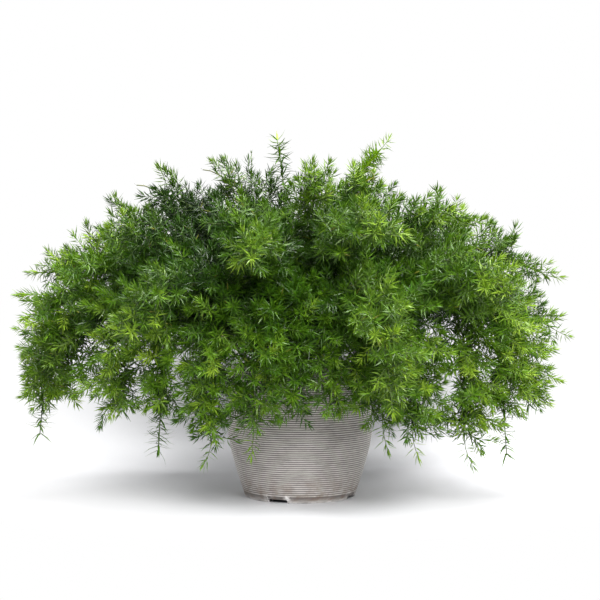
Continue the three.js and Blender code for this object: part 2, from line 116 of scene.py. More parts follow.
def stand(spot: Vector, along: Vector, side: Vector, scale: float = 1.0) -> Matrix:
    """The matrix that stands a shape's Z axis along a line at a spot, with its X axis to one side.

    Args:
        spot: Where the shape's origin goes.
        along: Unit direction of its Z axis.
        side: Unit direction of its X axis, square to along.
        scale: Size of the placed shape.

    Returns:
        A matrix with no mirroring.
    """
    across = along.cross(side)
    turn = Matrix((side, across, along)).transposed().to_4x4()
    return Matrix.Translation(spot) @ turn @ Matrix.Scale(scale, 4)


def lean_out(along: Vector, side: Vector, turn: float, angle: float) -> Vector:
    """The unit vector that leaves a line at an angle, turned round the line from its side."""
    outward = side * math.cos(turn) + along.cross(side) * math.sin(turn)
    return along * math.cos(angle) + outward * math.sin(angle)


def to_mesh(bm: bmesh.types.BMesh, name: str) -> bpy.types.Mesh:
    """Makes a mesh of a finished bmesh.

    Args:
        bm: The shape. It is freed.
        name: The mesh's name.

    Returns:
        The mesh.
    """
    mesh = bpy.data.meshes.new(name)
    bm.to_mesh(mesh)
    bm.free()
    return mesh


def spin_shell(bm: bmesh.types.BMesh, chain: list[bmesh.types.BMVert], segments: int) -> None:
    """Spins a section round the Z axis into a closed shell with its faces outwards.

    Args:
        bm: The bmesh that holds the section.
        chain: The section's points, from the axis round to the axis again.
        segments: The steps of the full turn.
    """
    edges = [bm.edges.new(pair) for pair in zip(chain, chain[1:])]
    bmesh.ops.spin(bm, geom=chain + edges, cent=(0, 0, 0), axis=(0, 0, 1), dvec=(0, 0, 0), angle=math.tau,
                   steps=segments, use_merge=True, use_normal_flip=False, use_duplicate=False)
    bmesh.ops.remove_doubles(bm, verts=bm.verts, dist=TINY)
    bmesh.ops.recalc_face_normals(bm, faces=bm.faces)


def finish_piece(bm: bmesh.types.BMesh, name: str, nodes: Sequence[str],
                 materials: Iterable[bpy.types.Material]) -> bpy.types.Object:
    """Makes a piece of a finished bmesh, dresses it and ties it to the frame.

    Args:
        bm: The shape, in place. It is freed.
        name: The piece's name.
        nodes: The frame's nodes that it stands for.
        materials: Its materials, in the order of its faces' indices.

    Returns:
        The piece.
    """
    mesh = to_mesh(bm, name)
    piece = bpy.data.objects.new(name, mesh)
    bpy.context.scene.collection.objects.link(piece)
    for material in materials:
        mesh.materials.append(material)
    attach(piece, BODY)
    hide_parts(*nodes)
    LOG.info("%s: %d faces", name, len(mesh.polygons))
    return piece


# Node trees


def add(tree: bpy.types.NodeTree, kind: str, settings: dict[str, object] | None = None,
        values: dict[str | int, object] | None = None,
        links: dict[str | int, bpy.types.NodeSocket] | None = None) -> bpy.types.Node:
    """Adds a node to a tree.

    Args:
        tree: The node tree.
        kind: The node's type.
        settings: Properties of the node.
        values: Values of its inputs, by name or number.
        links: What feeds its inputs, by name or number.

    Returns:
        The node.
    """
    node = tree.nodes.new(kind)
    for name, value in (settings or {}).items():
        setattr(node, name, value)
    for name, value in (values or {}).items():
        node.inputs[name].default_value = value
    for name, socket in (links or {}).items():
        tree.links.new(socket, node.inputs[name])
    return node


def ramp(node: bpy.types.Node, stops: Sequence[tuple[float, str]]) -> bpy.types.Node:
    """Sets the stops of a colour ramp.

    Args:
        node: The ramp.
        stops: Positions from 0 to 1, each with an sRGB hex colour.

    Returns:
        The same ramp.
    """
    elements = node.color_ramp.elements
    while len(elements) < len(stops):
        elements.new(1.0)
    for element, (position, code) in zip(elements, stops, strict=True):
        element.position = position
        element.color = linear(code)
    return node


def new_material(name: str) -> tuple[bpy.types.Material, bpy.types.NodeTree, bpy.types.Node]:
    """A material with an empty tree and its output.

    Args:
        name: The finish's name.

    Returns:
        The material, its tree and its output node.
    """
    material = bpy.data.materials.new(name)
    material.use_nodes = True
    tree = material.node_tree
    tree.nodes.clear()
    return material, tree, add(tree, "ShaderNodeOutputMaterial")


# How the stems stand and arch, by the same rule and the same drawn numbers as the frame's solids


class Age(Enum):
    """How old a stem is, by the record's slot."""

    OLD = "old_leaf"
    FULL = "full_leaf"
    YOUNG = "young_leaf"


class Draw:
    """Seeded numbers from 0 to 1, the same as those that the frame's stems were planned with."""

    MASK = 0xFFFFFFFF
    STEP = 0x6D2B79F5

    def __init__(self, seed: int) -> None:
        """Starts at a whole number."""
        self.state = seed & self.MASK

    def __call__(self) -> float:
        """Draws the next number.

        Returns:
            A number from 0 to 1.
        """
        self.state = (self.state + self.STEP) & self.MASK
        mixed = ((self.state ^ (self.state >> 15)) * (self.state | 1)) & self.MASK
        mixed ^= (mixed + (((mixed ^ (mixed >> 7)) * (mixed | 61)) & self.MASK)) & self.MASK
        return (mixed ^ (mixed >> 14)) / (self.MASK + 1)

    def either(self, most: float) -> float:
        """A number from minus most to most."""
        return mix(-most, most, self())


@dataclass(frozen=True)
class StemPlan:
    """Where a stem stands and how it arches. Angles are in degrees, tilts from straight up."""

    azimuth: float
    lean: float
    hang: float
    turn_from: float
    turn_to: float
    length: float
    sway: float
    crown: float = 63 * MM
    age: Age = Age.YOUNG

    SWAY_WAVE = 4.2
    FRONT_SHARE = 0.78
    BACK_SHARE = 0.66

    def heading(self, share: float) -> Vector:
        """Finds which way the stem runs.

        Args:
            share: How far along the stem, from 0 at the mix to 1 at its tip.

        Returns:
            The way, with a length near 1, a little flattened to the front and the back.
        """
        azimuth = math.radians(self.azimuth + self.sway * math.sin(share * self.SWAY_WAVE))
        tilt = math.radians(mix(self.lean, self.hang, ease(self.turn_from, self.turn_to, share)))
        depth = self.FRONT_SHARE if math.sin(azimuth) < 0 else self.BACK_SHARE
        flat = math.sin(tilt)
        return Vector((flat * math.cos(azimuth), flat * math.sin(azimuth) * depth, math.cos(tilt)))


class StemRoute:
    """A stem's line through space: its fine points, and the few that the frame's solid has."""

    FINE_STEPS = 60
    HOLE_DEPTH = 24 * MM
    SOIL_TOP = 172 * MM
    PLAIN_SHARE = 0.28
    BARE_STEPS = 2
    LEAFY_STEPS = 7

    def __init__(self, plan: StemPlan) -> None:
        """Runs the stem from its foot in the mix to its tip.

        Args:
            plan: Where the stem stands and how it leans, hangs and turns.
        """
        self.plan = plan
        azimuth = math.radians(plan.azimuth)
        start = Vector((plan.crown * math.cos(azimuth), plan.crown * math.sin(azimuth), self.SOIL_TOP))
        self.foot = start - plan.heading(0.0).normalized() * self.HOLE_DEPTH
        self.points = [start]
        for step in range(self.FINE_STEPS):
            way = plan.heading((step + 0.5) / self.FINE_STEPS)
            self.points.append(self.points[-1] + way * (plan.length / self.FINE_STEPS))

    def at(self, share: float) -> Vector:
        """Finds a point of the stem.

        Args:
            share: How far along the stem, from 0 at the mix to 1 at its tip.

        Returns:
            The point.
        """
        place = min(max(share, 0.0), 1.0) * self.FINE_STEPS
        step = min(int(place), self.FINE_STEPS - 1)
        return self.points[step].lerp(self.points[step + 1], place - step)

    def bars(self) -> list[tuple[Vector, Vector]]:
        """Lists the straight bars that the frame's solid has.

        Returns:
            Each bar's two ends, from the foot on.
        """
        shares = [self.PLAIN_SHARE * k / self.BARE_STEPS for k in range(1, self.BARE_STEPS + 1)]
        shares += [mix(self.PLAIN_SHARE, 1.0, k / self.LEAFY_STEPS) for k in range(1, self.LEAFY_STEPS + 1)]
        steps = [math.ceil(share * self.FINE_STEPS - TINY) for share in shares]
        line = [self.foot, self.points[0]] + [self.points[step] for step in steps]
        return list(zip(line, line[1:]))


PARALLEL = 1e-15  # two bars count as parallel where the square of their cross product is under this


def bar_distance(first: tuple[Vector, Vector], second: tuple[Vector, Vector]) -> float:
    """Finds the least distance between two straight bars' middle lines.

    Args:
        first: The ends of one bar.
        second: The ends of the other.

    Returns:
        The distance.
    """
    (p1, q1), (p2, q2) = first, second
    d1, d2, r = q1 - p1, q2 - p2, p1 - p2
    a, e, f, c, b = d1.dot(d1), d2.dot(d2), d2.dot(r), d1.dot(r), d1.dot(d2)
    square = a * e - b * b
    s = min(max((b * f - c * e) / square, 0.0), 1.0) if square > PARALLEL else 0.0
    t = (b * s + f) / e
    if t < 0:
        t, s = 0.0, min(max(-c / a, 0.0), 1.0)
    elif t > 1:
        t, s = 1.0, min(max((b - c) / a, 0.0), 1.0)
    return ((p1 + d1 * s) - (p2 + d2 * t)).length


@dataclass
class Crown:
    """The plan of the whole plant: a mound of stems by one rule, and young strands listed one by one."""

    seed: int = 22106
    seed_step: int = 7919
    mound_stems: int = 26
    crown_radius: float = 54 * MM
    right_slump: float = 4.0  # degrees that the right side leans further out, and the left side less
    leans: tuple[float, float] = (2, 46)  # of the innermost stem and the outermost, as all that follow
    hangs: tuple[float, float] = (62, 143)
    turn_from: float = 0.12
    turn_ends: tuple[float, float] = (1.25, 0.92)
    lengths: tuple[float, float] = (325, 430)  # in mm
    old_and_shaded_side: tuple[float, float] = (95.0, 205.0)  # azimuths between which the old stems stand; their darker needles also paint the shade at the back left
    stem_room: float = 5.7 * MM  # between two stems' middle lines
    turn_step: float = 1.5
    turn_tries: int = 61
    routes: list[StemRoute] = field(default_factory=list)

    GOLDEN_ANGLE = 180 * (3 - math.sqrt(5))

    STRANDS = (
        StemPlan(186, 43, 175, 0.24, 0.82, 570 * MM, 4),
        StemPlan(198, 41, 168, 0.22, 0.92, 460 * MM, -5, crown=50 * MM),
        StemPlan(202, 36, 176, 0.22, 0.84, 400 * MM, 5),
        StemPlan(224, 29, 176, 0.2, 0.7, 465 * MM, -4),
        StemPlan(236, 24, 176, 0.18, 0.72, 400 * MM, 5),
        StemPlan(256, 21, 176, 0.18, 0.74, 380 * MM, -5),
        StemPlan(262, 14, 168, 0.16, 0.88, 322 * MM, -6),
        StemPlan(271, 16, 176, 0.16, 0.78, 350 * MM, -5),
        StemPlan(281, 18, 174, 0.16, 0.82, 350 * MM, 5),
        StemPlan(288, 20, 172, 0.16, 0.82, 345 * MM, -4),
        StemPlan(302, 21, 176, 0.18, 0.76, 390 * MM, -5),
        StemPlan(318, 24, 176, 0.19, 0.74, 415 * MM, -7),
        StemPlan(328, 29, 176, 0.21, 0.72, 465 * MM, 4),
        StemPlan(344, 36, 176, 0.22, 0.72, 530 * MM, -4),
        StemPlan(352, 48, 172, 0.22, 0.95, 410 * MM, 3),
        StemPlan(62, 32, 174, 0.2, 0.76, 430 * MM, -7),
        StemPlan(118, 36, 172, 0.22, 0.78, 460 * MM, 5),
        StemPlan(172, 36, 104, 0.2, 1.0, 395 * MM, 5),
        StemPlan(21, 5, 58, 0.3, 1.2, 385 * MM, -8, crown=30 * MM),
        StemPlan(108, 3, 34, 0.45, 1.3, 374 * MM, 10, crown=22 * MM),
    )

    def mound_plan(self, index: int) -> StemPlan:
        """Plans one of the mound's stems.

        Args:
            index: Its number from 0, counted from the middle of the crown outwards.

        Returns:
            Its plan.
        """
        rank = (index + 0.5) / self.mound_stems
        draw = Draw(self.seed + index * self.seed_step)
        azimuth = index * self.GOLDEN_ANGLE % 360
        slump = self.right_slump * math.cos(math.radians(azimuth)) * rank
        low, high = self.old_and_shaded_side
        return StemPlan(
            azimuth=azimuth,
            lean=mix(*self.leans, rank ** 0.8) + draw.either(3) + slump,
            hang=mix(*self.hangs, rank ** 0.85) + draw.either(10),
            turn_from=self.turn_from,
            turn_to=mix(*self.turn_ends, rank),
            length=mix(*self.lengths, rank ** 0.6) * (1 + draw.either(0.06)) * MM,
            sway=draw.either(14),
            crown=self.crown_radius * math.sqrt(rank),
            # old stems, whose darker needles also paint the shade at the back left
            age=Age.OLD if low < azimuth < high else Age.FULL,
        )

    def settle(self) -> list[StemRoute]:
        """Turns each stem round the pot's axis by as little as clears it of the stems before it.

        Returns:
            The stems' routes, in the order of the frame's nodes.
        """
        taken: list[tuple[Vector, Vector]] = []
        for plan in [self.mound_plan(index) for index in range(self.mound_stems)] + list(self.STRANDS):
            for step in range(self.turn_tries):
                turn = (1 if step % 2 else -1) * math.ceil(step / 2) * self.turn_step
                route = StemRoute(replace(plan, azimuth=plan.azimuth + turn))
                bars = route.bars()
                if all(self.is_clear(bar, taken) for bar in bars):
                    break
            taken += bars
            self.routes.append(route)
        return self.routes

    def is_clear(self, bar: tuple[Vector, Vector], taken: Iterable[tuple[Vector, Vector]]) -> bool:
        """Finds whether a bar stands clear of others.

        Args:
            bar: The ends of the bar.
            taken: The ends of the others.

        Returns:
            True where it has its room from all of them.
        """
        middle, half = (bar[0] + bar[1]) / 2, (bar[0] - bar[1]).length / 2
        for other in taken:
            away = (middle - (other[0] + other[1]) / 2).length
            reach = half + (other[0] - other[1]).length / 2 + self.stem_room
            if away < reach and bar_distance(bar, other) < self.stem_room:
                return False
        return True


# Finishes


@dataclass(frozen=True)
class WaxyNeedle:
    """Living needle-like leaves: a thin waxy skin over green tissue that lets some light through.

    The eye sees a soft sheen on each needle, and a brighter, yellower green where light comes through it. The
    map's first coordinate is a needle's tone, from old and dark to young and lime, then straw. The second is
    how far along the needle a point is.
    """

    name: str
    tones: tuple[tuple[float, str], ...]
    straw: str = "9c9a45"
    roughness: float = 0.34
    glow: float = 0.2  # share of light that passes through

    LEAF_LOW = 0.1  # under this the map holds the stems
    STRAW_SPOT = 0.96
    STRAW_STOP = 0.93
    BLADE = ((0.0, "f4f6c8"), (0.16, "dfe6c4"), (0.75, "d4dcc6"), (1.0, "f2f3cf"))

    def material(self) -> bpy.types.Material:
        """Builds the skin and the tissue under it.

        Returns:
            The material.
        """
        material, tree, output = new_material(self.name)
        where = add(tree, "ShaderNodeUVMap", {"uv_map": BAKE_MAP})
        split = add(tree, "ShaderNodeSeparateXYZ", links={0: where.outputs["UV"]})
        tone = ramp(add(tree, "ShaderNodeValToRGB", links={0: split.outputs["X"]}),
                    self.tones + ((self.STRAW_STOP, self.straw),))
        # pale foot and darker blade: the needle is yellowish where it leaves its stem
        along = add(tree, "ShaderNodeMapRange", values={1: self.LEAF_LOW, 2: 1.0},
                    links={0: split.outputs["Y"]})
        shade = ramp(add(tree, "ShaderNodeValToRGB", links={0: along.outputs[0]}), self.BLADE)
        blade = add(tree, "ShaderNodeMix", {"data_type": "RGBA", "blend_type": "MULTIPLY"}, {0: 1.0},
                    {6: tone.outputs[0], 7: shade.outputs[0]})
        # small differences of hue from needle to needle
        speckle = add(tree, "ShaderNodeTexNoise", {"noise_dimensions": "2D"}, {"Scale": 46.0, "Detail": 1.0},
                      {"Vector": where.outputs["UV"]})
        hue = add(tree, "ShaderNodeMapRange", values={1: 0.3, 2: 0.7, 3: 0.488, 4: 0.512},
                  links={0: speckle.outputs["Fac"]})
        value = add(tree, "ShaderNodeMapRange", values={1: 0.3, 2: 0.7, 3: 0.84, 4: 1.16},
                    links={0: speckle.outputs["Fac"]})
        leaf = add(tree, "ShaderNodeHueSaturation", values={"Saturation": 1.0},
                   links={"Hue": hue.outputs[0], "Value": value.outputs[0], "Color": blade.outputs[2]})
        skin = add(tree, "ShaderNodeBsdfPrincipled", values={"Roughness": self.roughness, "IOR": 1.42},
                   links={"Base Color": leaf.outputs[0]})
        # light that has come through the tissue is brighter and yellower than light from the skin
        through = add(tree, "ShaderNodeHueSaturation", links={"Color": leaf.outputs[0]},
                      values={"Hue": 0.488, "Saturation": 1.12, "Value": 1.5})
        tissue = add(tree, "ShaderNodeBsdfTranslucent", links={"Color": through.outputs[0]})
        mixed = add(tree, "ShaderNodeMixShader", values={0: self.glow},
                    links={1: skin.outputs[0], 2: tissue.outputs[0]})
        tree.links.new(mixed.outputs[0], output.inputs["Surface"])
        return material


@dataclass(frozen=True)
class WiryStem:
    """Smooth wiry stems with a thin bark, tan and brown at the foot and green from there on.

    The eye sees a dull sheen and fine flecks. The map's first coordinate is how young the stem is.
    """

    name: str = "wiry_stem_bark"
    stops: tuple[tuple[float, str], ...] = (
        (0.0, "6b5636"), (0.25, "6d6a3a"), (0.5, "5a7033"), (0.85, "566b34"), (1.0, "68803f"))

    def material(self) -> bpy.types.Material:
        """Builds the bark.

        Returns:
            The material.
        """
        material, tree, output = new_material(self.name)
        where = add(tree, "ShaderNodeUVMap", {"uv_map": BAKE_MAP})
        split = add(tree, "ShaderNodeSeparateXYZ", links={0: where.outputs["UV"]})
        bark = ramp(add(tree, "ShaderNodeValToRGB", links={0: split.outputs["X"]}), self.stops)
        fleck = add(tree, "ShaderNodeTexNoise", {"noise_dimensions": "2D"}, {"Scale": 90.0, "Detail": 2.0},
                    {"Vector": where.outputs["UV"]})
        value = add(tree, "ShaderNodeMapRange", values={1: 0.3, 2: 0.7, 3: 0.8, 4: 1.2},
                    links={0: fleck.outputs["Fac"]})
        colour = add(tree, "ShaderNodeHueSaturation",
                     links={"Value": value.outputs[0], "Color": bark.outputs[0]})
        skin = add(tree, "ShaderNodeBsdfPrincipled", values={"Roughness": 0.5, "IOR": 1.45},
                   links={"Base Color": colour.outputs[0]})
        tree.links.new(skin.outputs[0], output.inputs["Surface"])
        return material


# The plant


@dataclass
class Needle:
    """A needle-like leaf: a slim keeled blade, narrow at its foot and pointed at its end."""

    length: float = 18 * MM
    width: float = 2.5 * MM
    fold: float = 1.0 * MM  # how far its edges lie behind its keel
    widest: float = 0.4  # share of the length where it is widest
    bent_low: float = 1.1  # a bent one has a middle ring between this many times the widest place
    bent_high: float = 0.9  # and this share of its length
    bent_spread: float = 1.7  # how much further apart the ring's sides stand than those of a straight one
    map_width: float = 0.016

    MAP_ENDS = (WaxyNeedle.LEAF_LOW + 0.03, 0.97)

    def build(self, fold: float, bend: float = 0.0) -> bpy.types.Mesh:
        """Makes one needle along +Z, drawn at a usual length and then scaled to 1 m.

        Args:
            fold: Its fold, as a share of the usual one.
            bend: How far its end leans to +X, as a share of its length. A bent one is as wide at its middle.

        Returns:
            A closed mesh of four triangles, or of ten where it bends, with its place on the map.
        """
        bm = bmesh.new()
        bmesh.ops.create_cone(bm, cap_ends=True, cap_tris=False, segments=3, radius1=1.0, radius2=0.0,
                              depth=self.length, matrix=Matrix.Translation((0, 0, self.length / 2)))
        base = sorted((vert for vert in bm.verts if vert.co.z < self.length / 2), key=lambda vert: vert.co.x)
        behind, waist, half = -self.fold * fold, self.length * self.widest, self.width / 2
        for vert, place in zip(base, ((behind, -half, waist), (0, 0, 0), (behind, half, waist))):
            vert.co = place
        if bend:
            low, high = waist * self.bent_low, self.length * self.bent_high
            long_edges = [edge for edge in bm.edges if max(vert.co.z for vert in edge.verts) > low]
            bmesh.ops.subdivide_edges(bm, edges=long_edges, cuts=1)
            for vert in bm.verts:
                if low < vert.co.z < high:
                    vert.co.y *= self.bent_spread
                vert.co.x += bend * vert.co.z ** 2 / self.length
        bmesh.ops.recalc_face_normals(bm, faces=bm.faces)
        layer = bm.loops.layers.uv.new(BAKE_MAP)
        for face in bm.faces:
            for loop in face.loops:
                across, along = loop.vert.co.y / self.width, loop.vert.co.z / self.length
                loop[layer].uv = (across * self.map_width, mix(*self.MAP_ENDS, along))
        bmesh.ops.scale(bm, verts=bm.verts, vec=(1 / self.length,) * 3)
        return to_mesh(bm, "needle")


class Growth:
    """A growing mesh of needles, its material 0, and of the stems that carry them, its material 1."""

    TUBE_LOW = 0.02  # where the stems' strip lies on the map, and how wide it is
    TUBE_WIDE = 0.06

    def __init__(self) -> None:
        """Starts with nothing but the map's layer."""
        self.bm = bmesh.new()
        self.layer = self.bm.loops.layers.uv.new(BAKE_MAP)

    def add_shape(self, shape: bpy.types.Mesh, matrix: Matrix, shift: float,
                  limits: tuple[float, float] | None = None) -> None:
        """Adds a placed copy of a small shape.

        Args:
            shape: The shape.
            matrix: Its place.
            shift: How far its needles' tones move along the map. Straw ones stay straw.
            limits: The lowest and highest tone that living needles may end up with.
        """
        copy = shape.copy()
        copy.transform(matrix)
        spots = copy.uv_layers[BAKE_MAP].data
        uv = np.empty(len(spots) * 2, np.float32)
        spots.foreach_get("uv", uv)
        tone, along = uv[0::2], uv[1::2]
        needle = along > WaxyNeedle.LEAF_LOW
        tone[needle] += shift
        if limits:
            straw = needle & (tone > Spray.STRAW_TONE / 2)
            tone[needle & ~straw] = np.clip(tone[needle & ~straw], *limits)
            tone[straw] = WaxyNeedle.STRAW_SPOT
        spots.foreach_set("uv", uv)
        self.bm.from_mesh(copy)
        bpy.data.meshes.remove(copy)

    def add_tube(self, line: Sequence[Vector], radii: Sequence[float], sides: int,
                 tones: Sequence[float]) -> None:
        """Grows a round stem along a line by extruding a ring, and closes both ends.

        Args:
            line: The points of its middle line.
            radii: Its radius at each point.
            sides: Sides of the ring.
            tones: How young it is at each point, from 0 to 1.
        """
        bm, layer = self.bm, self.layer
        along = (line[1] - line[0]).normalized()
        ring = bmesh.ops.create_circle(bm, cap_ends=True, segments=sides, radius=radii[0],
                                       matrix=stand(line[0], along, square_to(along, UP)))["verts"]
        caps = list(set(ring[0].link_faces))
        edges = list(caps[0].edges)
        faces = []
        for step in range(1, len(line)):
            way = (line[min(step + 1, len(line) - 1)] - line[step - 1]).normalized()
            grown = bmesh.ops.extrude_edge_only(bm, edges=edges)["geom"]
            verts = [part for part in grown if isinstance(part, bmesh.types.BMVert)]
            upper = set(verts)
            edges = [part for part in grown
                     if isinstance(part, bmesh.types.BMEdge) and upper.issuperset(part.verts)]
            turn = along.rotation_difference(way).to_matrix().to_4x4()
            grow = turn @ Matrix.Scale(radii[step] / radii[step - 1], 4)
            bmesh.ops.transform(bm, verts=verts, matrix=Matrix.Translation(line[step]) @ grow
                                @ Matrix.Translation(-line[step - 1]))
            for face in (part for part in grown if isinstance(part, bmesh.types.BMFace)):
                faces.append(face)
                for number, loop in enumerate(face.loops):
                    tone = tones[step if loop.vert in upper else step - 1]
                    loop[layer].uv = (tone, self.TUBE_LOW + self.TUBE_WIDE * (number in (1, 2)))
            along = way
        caps += bmesh.ops.contextual_create(bm, geom=edges)["faces"]
        for cap, tone in zip(caps, (tones[0], tones[-1]), strict=True):
            for number, loop in enumerate(cap.loops):
                across = self.TUBE_LOW + self.TUBE_WIDE * (number % 3 == 0)
                loop[layer].uv = (tone + 0.01 * (number % 2), across)
        bmesh.ops.recalc_face_normals(bm, faces=faces + caps)
        for face in faces + caps:
            face.material_index = 1
            face.smooth = face not in caps


class Habit(Enum):
    """How a side branchlet grows. The values are the arguments of __init__, in their order."""

    BRUSH = (3, 0.1, 5.6, 3.6, 78, 44, 1.0)
    STAR = (4, 0.4, 4.4, 2.3, 86, 38, 1.0)
    SHOOT = (2, 0.05, 6.5, 4.5, 38, 24, 0.5)

    def __init__(self, needles: int, bare: float, low_step: float, tip_step: float, low_angle: float,
                 tip_angle: float, size: float) -> None:
        """Names the values of a habit.

        Args:
            needles: Needles in a whorl.
            bare: The share of the branchlet's length that is bare.
            low_step: The step between whorls at its foot, in mm.
            tip_step: The step at its tip, in mm.
            low_angle: The needles' angle from its stem at its foot, in degrees.
            tip_angle: Their angle at its tip.
            size: Their size as a share of the usual one.
        """
        self.needles = needles
        self.bare = bare
        self.low_step = low_step * MM
        self.tip_step = tip_step * MM
        self.low_angle = low_angle
        self.tip_angle = tip_angle
        self.size = size


@dataclass
class Spray:
    """A side branchlet: a thin bowed stem along +Z, with whorls of needles that crowd towards its tip."""

    length: float
    habit: Habit
    seed: int
    foot_radius: float = 0.65 * MM
    tip_radius: float = 0.4 * MM
    steps: int = 3

    STRAW_LUCK = 0.002
    STRAW_TONE = 5.0
    BOWS = (0.2, 0.75)  # the least and the most that it bows, in radians
    BARK = (0.45, 0.95)  # how young its stem is at its foot and its tip
    TONES = (-0.08, 0.1)  # of the needles at its foot and its tip, beside the whole branchlet's
    TONE_SPREAD = 0.06
    FIRST_WHORL = 4.5 * MM
    WHORL_TURN = 0.8
    TURN_LUCK = 0.35
    ANGLE_SPREAD = 10
    NEEDLE_LENGTHS = (18, 14.5)  # at its foot and its tip, in mm
    SIZE_LUCK = (0.8, 1.18)
    STEP_LUCK = (0.85, 1.15)
    TIP_NEEDLES = 5
    TIP_LENGTHS = (10, 15)
    TIP_ANGLES = (6, 30)

    def build(self, needles: Sequence[bpy.types.Mesh]) -> bpy.types.Mesh:
        """Makes the branchlet from a few needle shapes of 1 m.

        Args:
            needles: Needle shapes of one length, folded by different amounts.

        Returns:
            A mesh with needles as material 0 and its stem as material 1.
        """
        luck = Random(self.seed)
        bow = luck.uniform(*self.BOWS)
        growth = Growth()
        shares = [step / self.steps for step in range(self.steps + 1)]
        growth.add_tube([self.at(share, bow) for share in shares],
                        [mix(self.foot_radius, self.tip_radius, share) for share in shares], 3,
                        [mix(*self.BARK, share) for share in shares])
        for share, size, angle, turn in self.whorls(luck):
            along = (self.at(share + 0.01, bow) - self.at(share - 0.01, bow)).normalized()
            way = lean_out(along, square_to(along, Vector((1, 0, 0))), turn, angle)
            tone = mix(*self.TONES, share) + luck.gauss(0.0, self.TONE_SPREAD)
            if luck.random() < self.STRAW_LUCK:
                tone = self.STRAW_TONE
            matrix = stand(self.at(share, bow), way, square_to(way, along), size)
            growth.add_shape(luck.choice(needles), matrix, tone)
        return to_mesh(growth.bm, f"{self.habit.name}_{self.seed}")

    def at(self, share: float, bow: float) -> Vector:
        """The middle line's point at a share of its length, bowed towards +X by an angle."""
        half = bow * share / 2
        return Vector((math.sin(half) * share, 0.0, math.cos(half) * share)) * self.length

    def whorls(self, luck: Random) -> Iterator[tuple[float, float, float, float]]:
        """Places the needles.

        Args:
            luck: The branchlet's drawn numbers.

        Yields:
            Each needle's share of the branchlet's length, its own length, its angle from the stem and its
            turn round it.
        """
        habit, whorl = self.habit, 0
        place = max(habit.bare * self.length, self.FIRST_WHORL)
        while place < self.length:
            share = place / self.length
            near_tip = ease(habit.bare, 1.0, share)
            for number in range(habit.needles):
                turn = whorl * self.WHORL_TURN + number * math.tau / habit.needles
                turn += luck.uniform(-self.TURN_LUCK, self.TURN_LUCK)
                angle = mix(habit.low_angle, habit.tip_angle, near_tip) + luck.gauss(0, self.ANGLE_SPREAD)
                size = mix(*self.NEEDLE_LENGTHS, near_tip) * habit.size * luck.uniform(*self.SIZE_LUCK)
                yield share, size * MM, math.radians(angle), turn
            place += mix(habit.low_step, habit.tip_step, near_tip) * luck.uniform(*self.STEP_LUCK)
            whorl += 1
        for number in range(self.TIP_NEEDLES):
            size = luck.uniform(*self.TIP_LENGTHS) * habit.size
            angle = math.radians(luck.uniform(*self.TIP_ANGLES))
            yield 1.0, size * MM, angle, number * math.tau / self.TIP_NEEDLES + luck.uniform(-0.4, 0.4)


class SprayStock:
    """A stock of branchlet shapes in steps of length, to be placed many times."""

    LENGTHS = (17, 24, 32, 42, 54, 68)
    KINDS = 5
    NEEDLE_FOLDS = (-0.6, 0.5, 0.9, 1.3)
    NEEDLE_BENDS = (-0.3, 0.1, 0.3)
    SCALES = (0.82, 1.15)

    def __init__(self) -> None:
        """Makes the needle shapes and then the branchlets."""
        self.needles = [Needle().build(fold) for fold in self.NEEDLE_FOLDS]
        self.bent = [Needle(width=2.3 * MM, widest=0.08).build(0.5, bend) for bend in self.NEEDLE_BENDS]
        self.shapes = {
            (habit, length): [Spray(length * MM, habit, seed=100 * length + kind).build(self.needles)
                              for kind in range(self.KINDS)]
            for habit in Habit for length in self.LENGTHS}

    def pick(self, habit: Habit, length: float, luck: Random) -> tuple[bpy.types.Mesh, float]:
        """Picks a branchlet shape.

        Args:
            habit: How it grows.
            length: How long it should be.
            luck: Draws one of the kinds.

        Returns:
            The shape, and the scale that brings it near that length.
        """
        nearest = min(self.LENGTHS, key=lambda size: abs(size * MM - length))
        low, high = self.SCALES
        return luck.choice(self.shapes[habit, nearest]), min(max(length / (nearest * MM), low), high)


@dataclass
class Bounds:
    """Where foliage may grow: inside the frame's box and outside the pot."""

    planter: "Planter"
    low: Vector
    high: Vector
    spare: float = 2 * MM
    pot_room: float = 7 * MM

    def holds(self, spot: Vector) -> bool:
        """Finds whether foliage may grow at a spot.

        Args:
            spot: The spot.

        Returns:
            True inside the box and outside the pot.
        """
        inside = all(low - self.spare < value < high + self.spare
                     for low, value, high in zip(self.low, spot, self.high, strict=True))
        return inside and self.planter.is_clear(spot, self.pot_room)


# Strands that stay leafy to their ends. The others thin out into a ladder of long needles.
LEAFY_ENDS = (31, 32, 37, 38, 39, 43)
# Strands with more room round them and longer branchlets, like the mound's stems that end behind BACK_FROM.
LONG_BRANCHED = (28, 29, 38, 39)
BACK_FROM = 60 * MM
LONG_REACH = 1.3
# Strands in front of the pot with short ones.
SHORT_BRANCHED = (33, 34, 35, 36)
SHORT_REACH = 0.72


